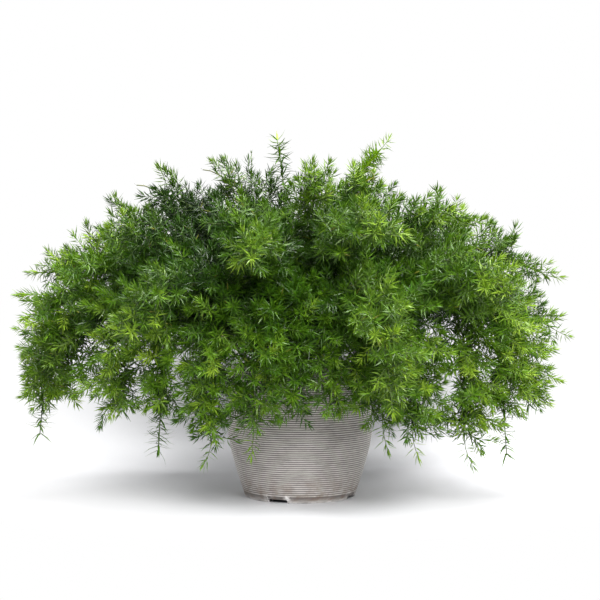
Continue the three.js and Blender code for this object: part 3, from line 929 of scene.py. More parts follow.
@dataclass
class Shading:
    """How the needles' tone changes over the plant: darker inside the mound, brighter on its outside, by age
    and by painted shade and light.

    A tone runs from 0, old and dark, to near 1, young and lime; some terms use it for painted shade and
    light.
    """

    base: float = 0.18
    outer: float = 0.34  # added from the middle of the mound to its outside: younger growth, and painted shade inside the mound
    crest: float = 0.2  # and more on the upper outside: younger growth, and painted light from above
    spread: float = 0.1  # of the seeded differences from shape to shape
    fresh: float = 0.22  # added to one branchlet in twelve
    fresh_luck: float = 0.08
    brush: float = 0.3  # added to the top of a long young shoot
    low: float = 0.1  # painted light added low down, in place of light from the floor
    shade: float = 0.14  # painted shade, taken from the lowest growth at the left
    painted_hollow_shade: float = 0.22  # painted shade, taken round a shaded hollow left of the middle
    painted_hollow_shade_spot: tuple[float, float] = (-170 * MM, 370 * MM)  # its x and z
    half_sizes: tuple[float, float] = (0.42, 0.34)  # of the mound, across and from front to back
    waist: float = 0.25  # height from which the mound closes in, and how much higher its top is
    rise: float = 0.27

    def tone(self, spot: Vector, luck: Random, is_brush: bool) -> float:
        """Finds the tone of what grows at a spot.

        Args:
            spot: The spot.
            luck: The stem's drawn numbers.
            is_brush: Whether it grows on a long young shoot.

        Returns:
            The tone.
        """
        (wide, deep), (x, z) = self.half_sizes, self.painted_hollow_shade_spot
        out = math.sqrt((spot.x / wide) ** 2 + (spot.y / deep) ** 2
                        + (max(spot.z - self.waist, 0.0) / self.rise) ** 2)
        # younger growth outside, with painted shade inside the mound and painted light on its upper outside
        tone = self.base + self.outer * ease(0.3, 1.0, out)
        tone += self.crest * ease(0.75, 1.1, out) * ease(0.2, 0.4, spot.z)
        tone += luck.gauss(0.0, self.spread) + (self.brush * ease(0.43, 0.5, spot.z) if is_brush else 0.0)
        tone += self.fresh if luck.random() < self.fresh_luck else 0.0
        # painted light low down
        low_down = self.low * (1 - ease(0.16, 0.3, spot.z))
        # painted shade on the lowest growth at the left
        low_down -= self.shade * (1 - ease(0.05, 0.14, spot.z)) * (1 - ease(-0.1, 0.2, spot.x))
        tone += low_down
        # painted shade: darker round the shaded hollow left of the middle
        return tone - self.painted_hollow_shade * (1 - ease(0.05, 0.13, math.hypot(spot.x - x, spot.z - z)))


@dataclass
class LeafyStem:
    """One arching stem with all that grows on it."""

    route: StemRoute
    seed: int
    leafy_end: bool = False
    reach: float = 1.0  # how much longer its branchlets are than usual
    foot_radius: float = 1.8 * MM
    tip_radius: float = 0.8 * MM
    sides: int = 6
    tube_steps: int = 28
    node_step: float = 2.75 * MM
    strand_step: float = 2.25 * MM
    inner_spread: float = 1.7  # how much further apart branchlets stand near a stem's foot
    open_spread: float = 0.6  # divides the steps at a thin end, and shortens them on a long young shoot
    first_share: float = 0.15
    last_share: float = 0.985
    spray_longest: float = 62 * MM
    spray_shortest: float = 22 * MM
    heart: Vector = field(default_factory=lambda: Vector((0.0, 0.0, 0.2)))  # the middle of the mound
    needle_reach: float = 14 * MM
    spray_tries: int = 8
    skirt: tuple[float, float] = (95 * MM, 170 * MM)  # heights between which hanging strands fill out
    side_drop: float = 22 * MM  # how much higher the strands beside the pot open out
    open_under: float = 0.5  # fullness under which long needles take the place of some branchlets
    slim_share: float = 0.5  # of a spray's length at the end of a strand
    riser_hang: float = 120.0  # strands that end less tilted than this stand clear and stay slim
    brush_hang: float = 40.0  # and those of them that end more tilted than this are bright to their ends
    shoot_height: float = 430 * MM  # stems that end above this may carry a bare new shoot
    shoot_luck: float = 0.7
    shading: Shading = field(default_factory=Shading)

    GOLDEN_TURN = math.radians(137.508)
    TONES = (0.02, 0.88)
    STEP_LUCK = (0.85, 1.15)
    THIN_OUT = (0.05, 0.5)  # a branchlet grows where the fullness is over a number drawn between these
    # the needles of a whorl on the stem, and their least and greatest angle from it in degrees
    OPEN_WHORL = (4, (68, 108))
    FULL_WHORL = (3, (55, 84))
    END_WHORL = (4, (32, 75))
    WHORL_TURN = 1.55
    WHORL_LENGTHS = (19, 26)
    SPRAY_LUCK = (0.3, 1.05)
    SPRAY_ANGLES = (42, 76)
    STAR_LUCK = 0.72
    SHOOT_FROM = 0.96
    TUFT_LENGTHS = (24, 36)  # at an open end and at a leafy one, in mm
    TUFT_TONE = 0.14

    def build(self, stock: SprayStock, bounds: Bounds) -> bmesh.types.BMesh:
        """Grows the stem, its branchlets and the needles on the stem itself.

        Args:
            stock: The branchlet shapes.
            bounds: Where they may grow.

        Returns:
            The shape, with needles as material 0 and stems as material 1.
        """
        luck = Random(self.seed)
        growth = Growth()
        self.grow_stem(growth)
        step = (self.strand_step if self.is_strand() else self.node_step) / self.route.plan.length
        share, number = self.first_share, 0
        while share < self.last_share:
            roll = number * self.GOLDEN_TURN + luck.gauss(0, 0.25)
            full = self.fullness(share)
            if full > luck.uniform(*self.THIN_OUT):
                self.add_spray(growth, stock, bounds, luck, share, roll)
            if full < self.open_under:
                self.add_whorl(growth, stock.bent, luck, share, roll, self.OPEN_WHORL)
            elif number % 3 == 1:
                self.add_whorl(growth, stock.needles, luck, share, roll + math.pi, self.FULL_WHORL)
            open_out = mix(self.inner_spread, 1.0, ease(0.15, 0.42, share)) / mix(self.open_spread, 1.0, full)
            is_crowded = self.is_brush() and full < self.open_under
            share += step * luck.uniform(*self.STEP_LUCK) * (self.open_spread if is_crowded else open_out)
            number += 1
        if self.is_strand() and not self.is_brush() and not self.leafy_end:
            self.add_whorl(growth, stock.bent, luck, 0.995, 0.0, self.END_WHORL)
        is_high = self.route.points[-1].z > self.shoot_height
        if is_high and not self.is_brush() and luck.random() < self.shoot_luck:
            self.bare_shoot(growth, stock, luck)
        elif not self.is_strand() or self.is_brush() or self.leafy_end:
            self.end_star(growth, stock, luck)
        return growth.bm

    def is_strand(self) -> bool:
        """Whether the stem is one of the young strands."""
        return self.route.plan.age is Age.YOUNG

    def is_brush(self) -> bool:
        """Whether the stem is one of the long young shoots that are dense and bright to their ends."""
        return self.is_strand() and self.brush_hang < self.route.plan.hang < self.riser_hang

    def fullness(self, share: float) -> float:
        """Finds how full the stem is at a place.

        Args:
            share: The place, as a share of the stem's length.

        Returns:
            A number from 0 at a thin open end to 1.
        """
        if not self.is_strand():
            return 1.0 - 0.6 * ease(0.76, 1.0, share) * (1.0 - ease(0.36, 0.42, self.route.points[-1].z))
        if self.route.plan.hang < self.riser_hang:
            return 1.0 - ease(0.35, 0.85, share)
        if self.leafy_end:
            return 1.0 - 0.45 * ease(0.85, 1.0, share)
        spot, (low, high) = self.route.at(share), self.skirt
        return ease(low, high, spot.z - self.side_drop * ease(0.1, 0.16, abs(spot.x)))

    def along(self, share: float) -> Vector:
        """The stem's direction at a share of its length."""
        return (self.route.at(share + 0.01) - self.route.at(share - 0.01)).normalized()

    def grow_stem(self, growth: Growth) -> None:
        """Grows the stem itself, from its foot in the mix to its tip.

        Args:
            growth: Where it goes.
        """
        shares = [step / self.tube_steps for step in range(self.tube_steps + 1)]
        line = [self.route.foot.lerp(self.route.points[0], 0.4)] + [self.route.at(share) for share in shares]
        radii = [self.foot_radius] + [mix(self.foot_radius, self.tip_radius, share) for share in shares]
        growth.add_tube(line, radii, self.sides, [0.0] + [mix(0.05, 0.9, share) for share in shares])

    def tone_at(self, spot: Vector, luck: Random) -> float:
        """The tone of what grows at a spot."""
        return self.shading.tone(spot, luck, self.is_brush())

    def add_spray(self, growth: Growth, stock: SprayStock, bounds: Bounds, luck: Random, share: float,
                  roll: float) -> None:
        """Adds one branchlet, turned and shortened until it grows clear.

        Args:
            growth: Where it goes.
            stock: The branchlet shapes.
            bounds: Where it may grow.
            luck: The stem's drawn numbers.
            share: Where it leaves the stem, as a share of the stem's length.
            roll: Which side of the stem it leaves from.
        """
        spot, along, full = self.route.at(share), self.along(share), self.fullness(share)
        leafy = max(share - StemRoute.PLAIN_SHARE, 0.0) / (1 - StemRoute.PLAIN_SHARE)
        swell = math.sin(math.pi * mix(0.22, 0.86, leafy))
        length = mix(self.spray_shortest, self.spray_longest, swell) * luck.uniform(*self.SPRAY_LUCK)
        length *= mix(self.slim_share, 1.15 if self.is_strand() else 1.0, full) * self.reach
        outwards = (spot - self.heart).normalized()
        least_out = luck.uniform(-0.9, 0.35)
        for _ in range(self.spray_tries):
            way = lean_out(along, square_to(along, UP), roll, math.radians(luck.uniform(*self.SPRAY_ANGLES)))
            if (way.dot(outwards) > least_out and bounds.holds(spot + way * (length + self.needle_reach))
                    and bounds.holds(spot + way * length * 0.6)):
                break
            roll += self.GOLDEN_TURN
            length *= 0.9
        else:
            return
        tip = spot + way * length
        lift = UP * 0.8 + along * 0.6 + Vector([luck.gauss(0, 0.35) for _ in range(3)])
        chance = luck.random()
        habit = Habit.STAR if chance < self.STAR_LUCK and full > 0.7 else Habit.BRUSH
        if chance > self.SHOOT_FROM and way.z > 0.3:
            habit = Habit.SHOOT
        shape, scale = stock.pick(habit, length, luck)
        matrix = stand(spot, way, square_to(way, lift), scale)
        growth.add_shape(shape, matrix, self.tone_at(tip, luck), self.TONES)

    def add_whorl(self, growth: Growth, shapes: Sequence[bpy.types.Mesh], luck: Random, share: float,
                  roll: float, whorl: tuple[int, tuple[float, float]]) -> None:
        """Adds longer needles that stand on the stem itself.

        Args:
            growth: Where they go.
            shapes: The needle shapes.
            luck: The stem's drawn numbers.
            share: Where they stand, as a share of the stem's length.
            roll: Which side of the stem the middle ones stand on.
            whorl: How many there are, and their least and greatest angle from the stem in degrees.
        """
        count, angles = whorl
        spot, along = self.route.at(share), self.along(min(share, 0.99))
        side = square_to(along, UP)
        for number in range(count):
            turn = roll + (number - (count - 1) / 2) * self.WHORL_TURN + luck.uniform(-0.4, 0.4)
            way = lean_out(along, side, turn, math.radians(luck.uniform(*angles)))
            matrix = stand(spot, way, square_to(way, along), luck.uniform(*self.WHORL_LENGTHS) * MM)
            growth.add_shape(luck.choice(shapes), matrix, self.tone_at(spot, luck), self.TONES)

    def end_star(self, growth: Growth, stock: SprayStock, luck: Random) -> None:
        """Ends the stem in a crowded young tuft.

        Args:
            growth: Where it goes.
            stock: The branchlet shapes.
            luck: The stem's drawn numbers.
        """
        spot, along = self.route.points[-1], self.along(0.99)
        shape, scale = stock.pick(Habit.BRUSH, self.TUFT_LENGTHS[self.leafy_end] * MM, luck)
        matrix = stand(spot, along, square_to(along, UP), scale)
        growth.add_shape(shape, matrix, self.tone_at(spot, luck) + self.TUFT_TONE, self.TONES)

    def bare_shoot(self, growth: Growth, stock: SprayStock, luck: Random) -> None:
        """Adds a thin new shoot at the stem's end, which nods and has only scales for leaves yet.

        Args:
            growth: Where it goes.
            stock: The needle shapes, small ones of which are the scales.
            luck: The stem's drawn numbers.
        """
        spot, way = self.route.points[-1], self.along(0.99)
        length, turn = luck.uniform(26, 36) * MM, luck.uniform(0, math.tau)
        nod = (Vector((math.cos(turn), 0.4 * math.sin(turn), 0.0)) + UP * 0.3).normalized()
        line = [spot + (way * share * (1 - 0.45 * share) + nod * 0.8 * share * share) * length
                for share in (0.0, 0.25, 0.5, 0.75, 1.0)]
        line[-1].z -= 3 * MM
        growth.add_tube(line, [mix(1.1, 0.7, k / 4) * MM for k in range(5)], 4, (0.45, 0.35, 0.3, 0.3, 0.35))
        for low, high in zip(line, line[1:]):
            along = (high - low).normalized()
            scale = (along * 2 + square_to(along, UP) * luck.choice((-1, 1))).normalized()
            shape = luck.choice(stock.needles)
            matrix = stand(high, scale, square_to(scale, along), 5 * MM)
            growth.add_shape(shape, matrix, self.tone_at(spot, luck), self.TONES)


# Planter and potting mix


@dataclass(frozen=True)
class MouldedResin:
    """Satin grey-brown polyethylene resin, moulded with fine ridges and aged by the maker.

    The eye sees pale crests, rubbed and with painted highlight, over dark wash and painted shade in the
    grooves, a soft sheen, and a foot that is scuffed brown and worn white at its edges.
    """

    name: str = "moulded_resin_aged_painted_light"
    # groove: dark wash and painted shade; crest: rubbed resin and painted highlight
    groove: str = "69635f"
    crest: str = "d2cdc7"
    scuff: str = "76604f"
    worn: str = "eeebe8"

    def material(self) -> bpy.types.Material:
        """Builds the resin, its wash with painted highlight and shade on the ridges, its scuffs and its worn
        edges.

        Returns:
            The material.
        """
        material, tree, output = new_material(self.name)
        place = add(tree, "ShaderNodeTexCoord")
        rubbed_and_lit = add(tree, "ShaderNodeAttribute", {"attribute_name": "crest"})
        rubbed = add(tree, "ShaderNodeAttribute", {"attribute_name": "worn"})
        # cloudy wash: patches of 20 to 40 mm
        cloud = add(tree, "ShaderNodeTexNoise", values={"Scale": 34.0, "Detail": 3.0, "Roughness": 0.6},
                    links={"Vector": place.outputs["Object"]})
        # streaks that run round the pot along the ridges, 2 mm high and 15 mm long
        squash = add(tree, "ShaderNodeMapping", values={"Scale": (70, 70, 520)},
                     links={"Vector": place.outputs["Object"]})
        streak = add(tree, "ShaderNodeTexNoise", values={"Scale": 1.0, "Detail": 3.0, "Roughness": 0.65},
                     links={"Vector": squash.outputs[0]})
        level = add(tree, "ShaderNodeMath", {"operation": "MULTIPLY_ADD"}, {1: 0.62},
                    {0: streak.outputs["Fac"]})
        patch = add(tree, "ShaderNodeMapRange", values={1: 0.3, 2: 0.7, 3: -0.42, 4: -0.2},
                    links={0: cloud.outputs["Fac"]})
        tree.links.new(patch.outputs[0], level.inputs[2])
        # painted highlight on the crests and painted shade in the grooves, over the resin's real wash and
        # rubbing
        high = add(tree, "ShaderNodeMath", {"operation": "ADD", "use_clamp": True},
                   links={0: rubbed_and_lit.outputs["Fac"], 1: level.outputs[0]})
        base = ramp(add(tree, "ShaderNodeValToRGB", links={0: high.outputs[0]}),
                    ((0.0, self.groove), (0.45, "88827e"), (0.8, "aca6a0"), (1.0, self.crest)))
        # brown scuffs low on the pot
        height = add(tree, "ShaderNodeSeparateXYZ", links={0: place.outputs["Object"]})
        low = add(tree, "ShaderNodeMapRange", values={1: 45 * MM, 2: 4 * MM, 3: 0.0, 4: 0.75},
                  links={0: height.outputs["Z"]})
        spots = add(tree, "ShaderNodeTexNoise", values={"Scale": 60.0, "Detail": 4.0, "Roughness": 0.7},
                    links={"Vector": place.outputs["Object"]})
        spread = add(tree, "ShaderNodeMapRange", values={1: 0.42, 2: 0.62}, links={0: spots.outputs["Fac"]})
        scuffs = add(tree, "ShaderNodeMath", {"operation": "MULTIPLY"},
                     links={0: low.outputs[0], 1: spread.outputs[0]})
        browned = add(tree, "ShaderNodeMix", {"data_type": "RGBA"}, {7: linear(self.scuff)},
                      {0: scuffs.outputs[0], 6: base.outputs[0]})
        # worn edges, broken up by the scuffs' noise
        chips = add(tree, "ShaderNodeMapRange", values={1: 0.4, 2: 0.55}, links={0: spots.outputs["Fac"]})
        edge = add(tree, "ShaderNodeMath", {"operation": "MULTIPLY"},
                   links={0: rubbed.outputs["Fac"], 1: chips.outputs[0]})
        colour = add(tree, "ShaderNodeMix", {"data_type": "RGBA"}, {7: linear(self.worn)},
                     {0: edge.outputs[0], 6: browned.outputs[2]})
        rough = add(tree, "ShaderNodeMapRange", values={1: 0.3, 2: 0.7, 3: 0.42, 4: 0.6},
                    links={0: streak.outputs["Fac"]})
        grain = add(tree, "ShaderNodeBump", values={"Strength": 0.25, "Distance": 0.3 * MM},
                    links={"Height": streak.outputs["Fac"]})
        skin = add(tree, "ShaderNodeBsdfPrincipled", values={"IOR": 1.5},
                   links={"Base Color": colour.outputs[2], "Roughness": rough.outputs[0],
                          "Normal": grain.outputs[0]})
        tree.links.new(skin.outputs[0], output.inputs["Surface"])
        return material


@dataclass
class Planter:
    """A moulded resin planter with fine level ridges, a plain foot band and a notched foot ring."""

    height: float = 196 * MM
    foot_radius: float = 82 * MM
    belly_radius: float = 108 * MM
    belly_height: float = 94 * MM
    belly_rounding: float = 1.3
    rim_radius: float = 101 * MM
    wall: float = 5 * MM
    lip_out: float = 2.5 * MM
    lip_height: float = 7 * MM
    lip_rounding: float = 2 * MM
    lip_edge: float = 0.6 * MM
    foot_band: float = 9 * MM
    foot_width: float = 9 * MM
    foot_rounding: float = 1 * MM
    foot_out: float = 0.3 * MM
    underside: float = 9 * MM
    floor_top: float = 14 * MM
    mix_height: float = 172 * MM  # up to here the mix fills it
    inner_break: float = 93 * MM  # where the inner wall changes its slope
    ridges: int = 58
    ridge_depth: float = 0.85 * MM
    segments: int = 128
    notches: int = 4
    notch_width: float = 29 * MM
    notch_height: float = 5 * MM
    notch_turn: float = math.radians(-113)
    drain_radius: float = 6 * MM
    drain_distance: float = 42 * MM

    # a ridge's section: shares of its height, each with how high it is on the way from groove to crest
    RIDGE = ((0.0, 0.0), (0.36, 1.0), (0.6, 1.0))

    def wall_radius(self, height: float) -> float:
        """Finds the radius of the outer wall over its crests.

        Args:
            height: The height on the pot.

        Returns:
            The radius.
        """
        if height < self.belly_height:
            below = (self.belly_height - height) / self.belly_height
            return self.belly_radius - (self.belly_radius - self.foot_radius) * below ** self.belly_rounding
        above = (height - self.belly_height) / (self.height - self.belly_height)
        return self.belly_radius - (self.belly_radius - self.rim_radius) * above ** 2

    def is_clear(self, spot: Vector, room: float) -> bool:
        """Finds whether a point is clear of the pot.

        Args:
            spot: The point.
            room: The room that it needs from the pot.

        Returns:
            True in the open or above the mix.
        """
        if spot.z > self.height + room:
            return True
        return math.hypot(spot.x, spot.y) > self.wall_radius(min(max(spot.z, 0.0), self.height)) + room

    def section(self) -> Iterator[tuple[float, float, float]]:
        """Runs round the wall's section, from the middle of the underside to that of the floor.

        Yields:
            The radius and the height of each point, and how rubbed and how lit it is painted, from 0 in a
            groove to 1 on a crest.
        """
        ring = self.foot_radius - self.foot_width
        yield 0.0, self.underside, 0.5
        yield ring, self.underside, 0.5
        yield ring, 0.0, 0.5
        yield self.foot_radius - self.foot_rounding, 0.0, 0.6
        yield self.foot_radius + self.foot_out, self.foot_rounding, 0.8
        yield mix(self.foot_radius, self.wall_radius(self.foot_band), 0.5), self.foot_band / 2, 0.62
        lip_base = self.height - self.lip_height
        pitch = (lip_base - self.foot_band) / self.ridges
        for ridge in range(self.ridges):
            for phase, crest in self.RIDGE:
                height = self.foot_band + (ridge + phase) * pitch
                depth = self.ridge_depth * mix(0.35, 1.0, ease(self.foot_band, 5 * self.foot_band, height))
                yield self.wall_radius(height) - depth * (1 - crest), height, crest
        lip_radius = self.rim_radius + self.lip_out
        yield self.wall_radius(lip_base) - self.ridge_depth, lip_base, 0.2
        yield lip_radius, lip_base + self.lip_edge, 0.7
        yield lip_radius, self.height - self.lip_rounding, 0.7
        yield lip_radius - self.lip_edge, self.height - self.lip_edge, 0.9
        yield lip_radius - self.lip_rounding, self.height, 0.9
        yield self.rim_radius - self.wall, self.height, 0.7
        for height in (self.mix_height, self.inner_break, self.floor_top):
            yield self.wall_radius(height) - self.wall, height, 0.4
        yield 0.0, self.floor_top, 0.4

    def shell(self) -> bpy.types.Mesh:
        """Spins the section into the closed shell.

        Returns:
            The shell, with its crest attribute.
        """
        bm = bmesh.new()
        layer = bm.verts.layers.float.new("crest")
        chain = []
        for radius, height, crest in self.section():
            chain.append(bm.verts.new((radius, 0, height)))
            chain[-1][layer] = crest
        spin_shell(bm, chain, self.segments)
        return to_mesh(bm, "shell")

    def cutters(self) -> bpy.types.Mesh:
        """Makes what is cut away from the shell.

        Returns:
            The blocks that cut the notches in the foot ring, and the pins that cut the drain holes.
        """
        bm = bmesh.new()
        for number in range(self.notches):
            turn = Matrix.Rotation(self.notch_turn + number * math.tau / self.notches, 4, "Z")
            block = Matrix.Diagonal((self.foot_radius, self.notch_width, self.notch_height * 2, 1))
            out = turn @ Matrix.Translation((self.foot_radius, 0, 0))
            bmesh.ops.create_cube(bm, size=1.0, matrix=out @ block)
            bmesh.ops.create_cone(bm, cap_ends=True, segments=24, depth=self.floor_top * 3,
                                  radius1=self.drain_radius, radius2=self.drain_radius,
                                  matrix=turn @ Matrix.Translation((self.drain_distance, 0, self.floor_top)))
        return to_mesh(bm, "cutters")

    def wear(self, spot: Vector) -> float:
        """Finds how worn the resin is: most at the foot's lower edge and round the notches.

        Args:
            spot: A point of the pot.

        Returns:
            A number from 0 to 1.
        """
        if spot.z > 12 * MM or math.hypot(spot.x, spot.y) < self.foot_radius - 3 * MM:
            return 0.0
        turn = math.tau / self.notches
        away = (math.atan2(spot.y, spot.x) - self.notch_turn + turn / 2) % turn - turn / 2
        near_notch = 1 - ease(0.0, 9 * MM, abs(abs(away) * self.foot_radius - self.notch_width / 2))
        return max(near_notch, 0.75 * (1 - ease(1.2 * MM, 3.5 * MM, spot.z)))

    def build(self) -> bpy.types.Object:
        """Makes the pot, dresses it and ties it to the frame.

        Returns:
            The piece.
        """
        scene = bpy.context.scene
        shell = bpy.data.objects.new("shell", self.shell())
        cutter = bpy.data.objects.new("cutter", self.cutters())
        for thing in (shell, cutter):
            scene.collection.objects.link(thing)
        cut = shell.modifiers.new("cut", "BOOLEAN")
        cut.operation = "DIFFERENCE"
        cut.solver = "EXACT"
        cut.object = cutter
        depsgraph = bpy.context.evaluated_depsgraph_get()
        bm = bmesh.new()
        bm.from_mesh(shell.evaluated_get(depsgraph).to_mesh())
        for thing in (shell, cutter):
            mesh = thing.data
            bpy.data.objects.remove(thing)
            bpy.data.meshes.remove(mesh)
        layer = bm.verts.layers.float.new("worn")
        for vert in bm.verts:
            vert[layer] = self.wear(vert.co)
        for face in bm.faces:
            face.smooth = True
        piece = finish_piece(bm, "pot_shell", ["pot"], [MouldedResin().material()])
        piece.data.set_sharp_from_angle(angle=math.radians(50))
        return piece


@dataclass(frozen=True)
class BarkAndPeat:
    """Loose potting mix: dark damp peat with brown bark chips and white perlite.

    The eye sees dull dark crumbs with shadows between them.
    """

    name: str = "bark_and_peat"

    def material(self) -> bpy.types.Material:
        """Builds the peat.

        Returns:
            The material.
        """
        material, tree, output = new_material(self.name)
        place = add(tree, "ShaderNodeTexCoord")
        # crumbs of 2 to 4 mm
        crumbs = add(tree, "ShaderNodeTexVoronoi", values={"Scale": 300.0},
                     links={"Vector": place.outputs["Object"]})
        # damper and drier places, about 17 mm across
        damp = add(tree, "ShaderNodeTexNoise", values={"Scale": 60.0, "Detail": 5.0},
                   links={"Vector": place.outputs["Object"]})
        both = add(tree, "ShaderNodeMath", {"operation": "MULTIPLY"},
                   links={0: crumbs.outputs["Distance"], 1: damp.outputs["Fac"]})
        colour = ramp(add(tree, "ShaderNodeValToRGB", links={0: both.outputs[0]}),
                      ((0.0, "1c130d"), (0.15, "35261b"), (0.3, "53402f"), (0.55, "6d563f")))
        bump = add(tree, "ShaderNodeBump", values={"Strength": 0.8, "Distance": 2 * MM},
                   links={"Height": both.outputs[0]})
        skin = add(tree, "ShaderNodeBsdfPrincipled", values={"Roughness": 0.9},
                   links={"Base Color": colour.outputs[0], "Normal": bump.outputs[0]})
        tree.links.new(skin.outputs[0], output.inputs["Surface"])
        return material

    def bits(self, name: str, dark: str, light: str, scale: float) -> bpy.types.Material:
        """Builds the material of what is strewn in the peat.

        Args:
            name: Its finish's name.
            dark: The darker sRGB hex colour of its grain.
            light: The lighter one.
            scale: The grain's repeats in a metre.

        Returns:
            The material.
        """
        material, tree, output = new_material(name)
        place = add(tree, "ShaderNodeTexCoord")
        grain = add(tree, "ShaderNodeTexNoise", values={"Scale": scale, "Detail": 4.0},
                    links={"Vector": place.outputs["Object"]})
        colour = ramp(add(tree, "ShaderNodeValToRGB", links={0: grain.outputs["Fac"]}),
                      ((0.3, dark), (0.7, light)))
        bump = add(tree, "ShaderNodeBump", values={"Strength": 0.5, "Distance": 0.5 * MM},
                   links={"Height": grain.outputs["Fac"]})
        skin = add(tree, "ShaderNodeBsdfPrincipled", values={"Roughness": 0.85},
                   links={"Base Color": colour.outputs[0], "Normal": bump.outputs[0]})
        tree.links.new(skin.outputs[0], output.inputs["Surface"])
        return material


@dataclass
class PottingMix:
    """The pot's fill: a plug with a lumpy top, strewn with bark chips and perlite."""

    planter: Planter
    low: float = 14.35 * MM
    top: float = 175 * MM
    gap: float = 0.35 * MM
    sink: float = 1.5 * MM  # how far under its nominal height its top lies
    crown_share: float = 0.78
    rings: int = 16
    segments: int = 72
    chips: int = 420
    beads: int = 90
    seed: int = 88

    # a lump's waves in a metre, and its height in mm
    COARSE_LUMP = (60, 2.2)
    FINE_LUMP = (190, 1.2)
    CHIP_SIZES = (1.8, 5.0)
    BEAD_SIZES = (1.0, 2.2)

    def radius(self, height: float) -> float:
        """The radius that the mix fills at a height."""
        return self.planter.wall_radius(height) - self.planter.wall - self.gap

    def top_height(self, x: float, y: float) -> float:
        """Finds the height of the mix, with lumps of a few millimetres.

        Args:
            x: Where, to the right.
            y: Where, to the back.

        Returns:
            The height.
        """
        brim, (coarse, high), (fine, low) = self.planter.mix_height, self.COARSE_LUMP, self.FINE_LUMP
        out = math.hypot(x, y) / self.radius(brim)
        crown = mix(self.top, brim, ease(self.crown_share, 1.0, out))
        lump = noise.noise(Vector((x, y, 0.0)) * coarse) * high * MM
        lump += noise.noise(Vector((x, y, 0.3)) * fine) * low * MM
        return crown - self.sink + lump * (1 - ease(0.9, 1.0, out))

    def plug(self, bm: bmesh.types.BMesh) -> None:
        """Makes the plug with its lumpy top.

        Args:
            bm: An empty bmesh, which it goes into.
        """
        brim, waist = self.planter.mix_height, self.planter.inner_break
        section = [(self.radius(brim) * ring / self.rings, brim) for ring in range(self.rings + 1)]
        section += [(self.radius(waist), waist), (self.radius(self.low), self.low), (0.0, self.low)]
        spin_shell(bm, [bm.verts.new((radius, 0, height)) for radius, height in section], self.segments)
        for vert in bm.verts:
            if vert.co.z > brim - TINY:
                vert.co.z = self.top_height(vert.co.x, vert.co.y)
        for face in bm.faces:
            face.smooth = True

    def strew(self, bm: bmesh.types.BMesh, luck: Random, is_chip: bool) -> None:
        """Lays one chip of bark or one bead of perlite on the mix.

        Args:
            bm: Where it goes.
            luck: The mix's drawn numbers.
            is_chip: Whether it is a chip.
        """
        distance = self.radius(self.planter.mix_height) * 0.97 * math.sqrt(luck.random())
        turn = luck.uniform(0, math.tau)
        x, y = distance * math.cos(turn), distance * math.sin(turn)
        size = luck.uniform(*(self.CHIP_SIZES if is_chip else self.BEAD_SIZES)) * MM
        shape = (size,) * 3
        if is_chip:
            shape = (size, size * luck.uniform(0.4, 0.8), size * luck.uniform(0.2, 0.4))
        tilt = Matrix.Rotation(luck.uniform(-0.6, 0.6), 4, "X")
        tilt = tilt @ Matrix.Rotation(luck.uniform(-0.6, 0.6), 4, "Y")
        spin = Matrix.Rotation(luck.uniform(0, math.tau), 4, "Z")
        matrix = (Matrix.Translation((x, y, self.top_height(x, y) + shape[2] * 0.4)) @ spin @ tilt
                  @ Matrix.Diagonal(shape + (1,)))
        made = bmesh.ops.create_icosphere(bm, subdivisions=1, radius=1.0, matrix=matrix)["verts"]
        for face in {face for vert in made for face in vert.link_faces}:
            face.material_index = 1 if is_chip else 2

    def build(self) -> bpy.types.Object:
        """Makes the mix, dresses it and ties it to the frame.

        Returns:
            The piece.
        """
        luck = Random(self.seed)
        bm = bmesh.new()
        self.plug(bm)
        for number in range(self.chips + self.beads):
            self.strew(bm, luck, number < self.chips)
        finish = BarkAndPeat()
        return finish_piece(bm, "potting_mix", ["soil"], [
            finish.material(),
            # flat brown flakes with a grain of 2.5 mm
            finish.bits("pine_bark_chips", "3a2416", "7a5436", 400.0),
            # puffed white glass, with a grain of 1.1 mm
            finish.bits("perlite_beads", "cfcac0", "f1eee6", 900.0)])


# Studio


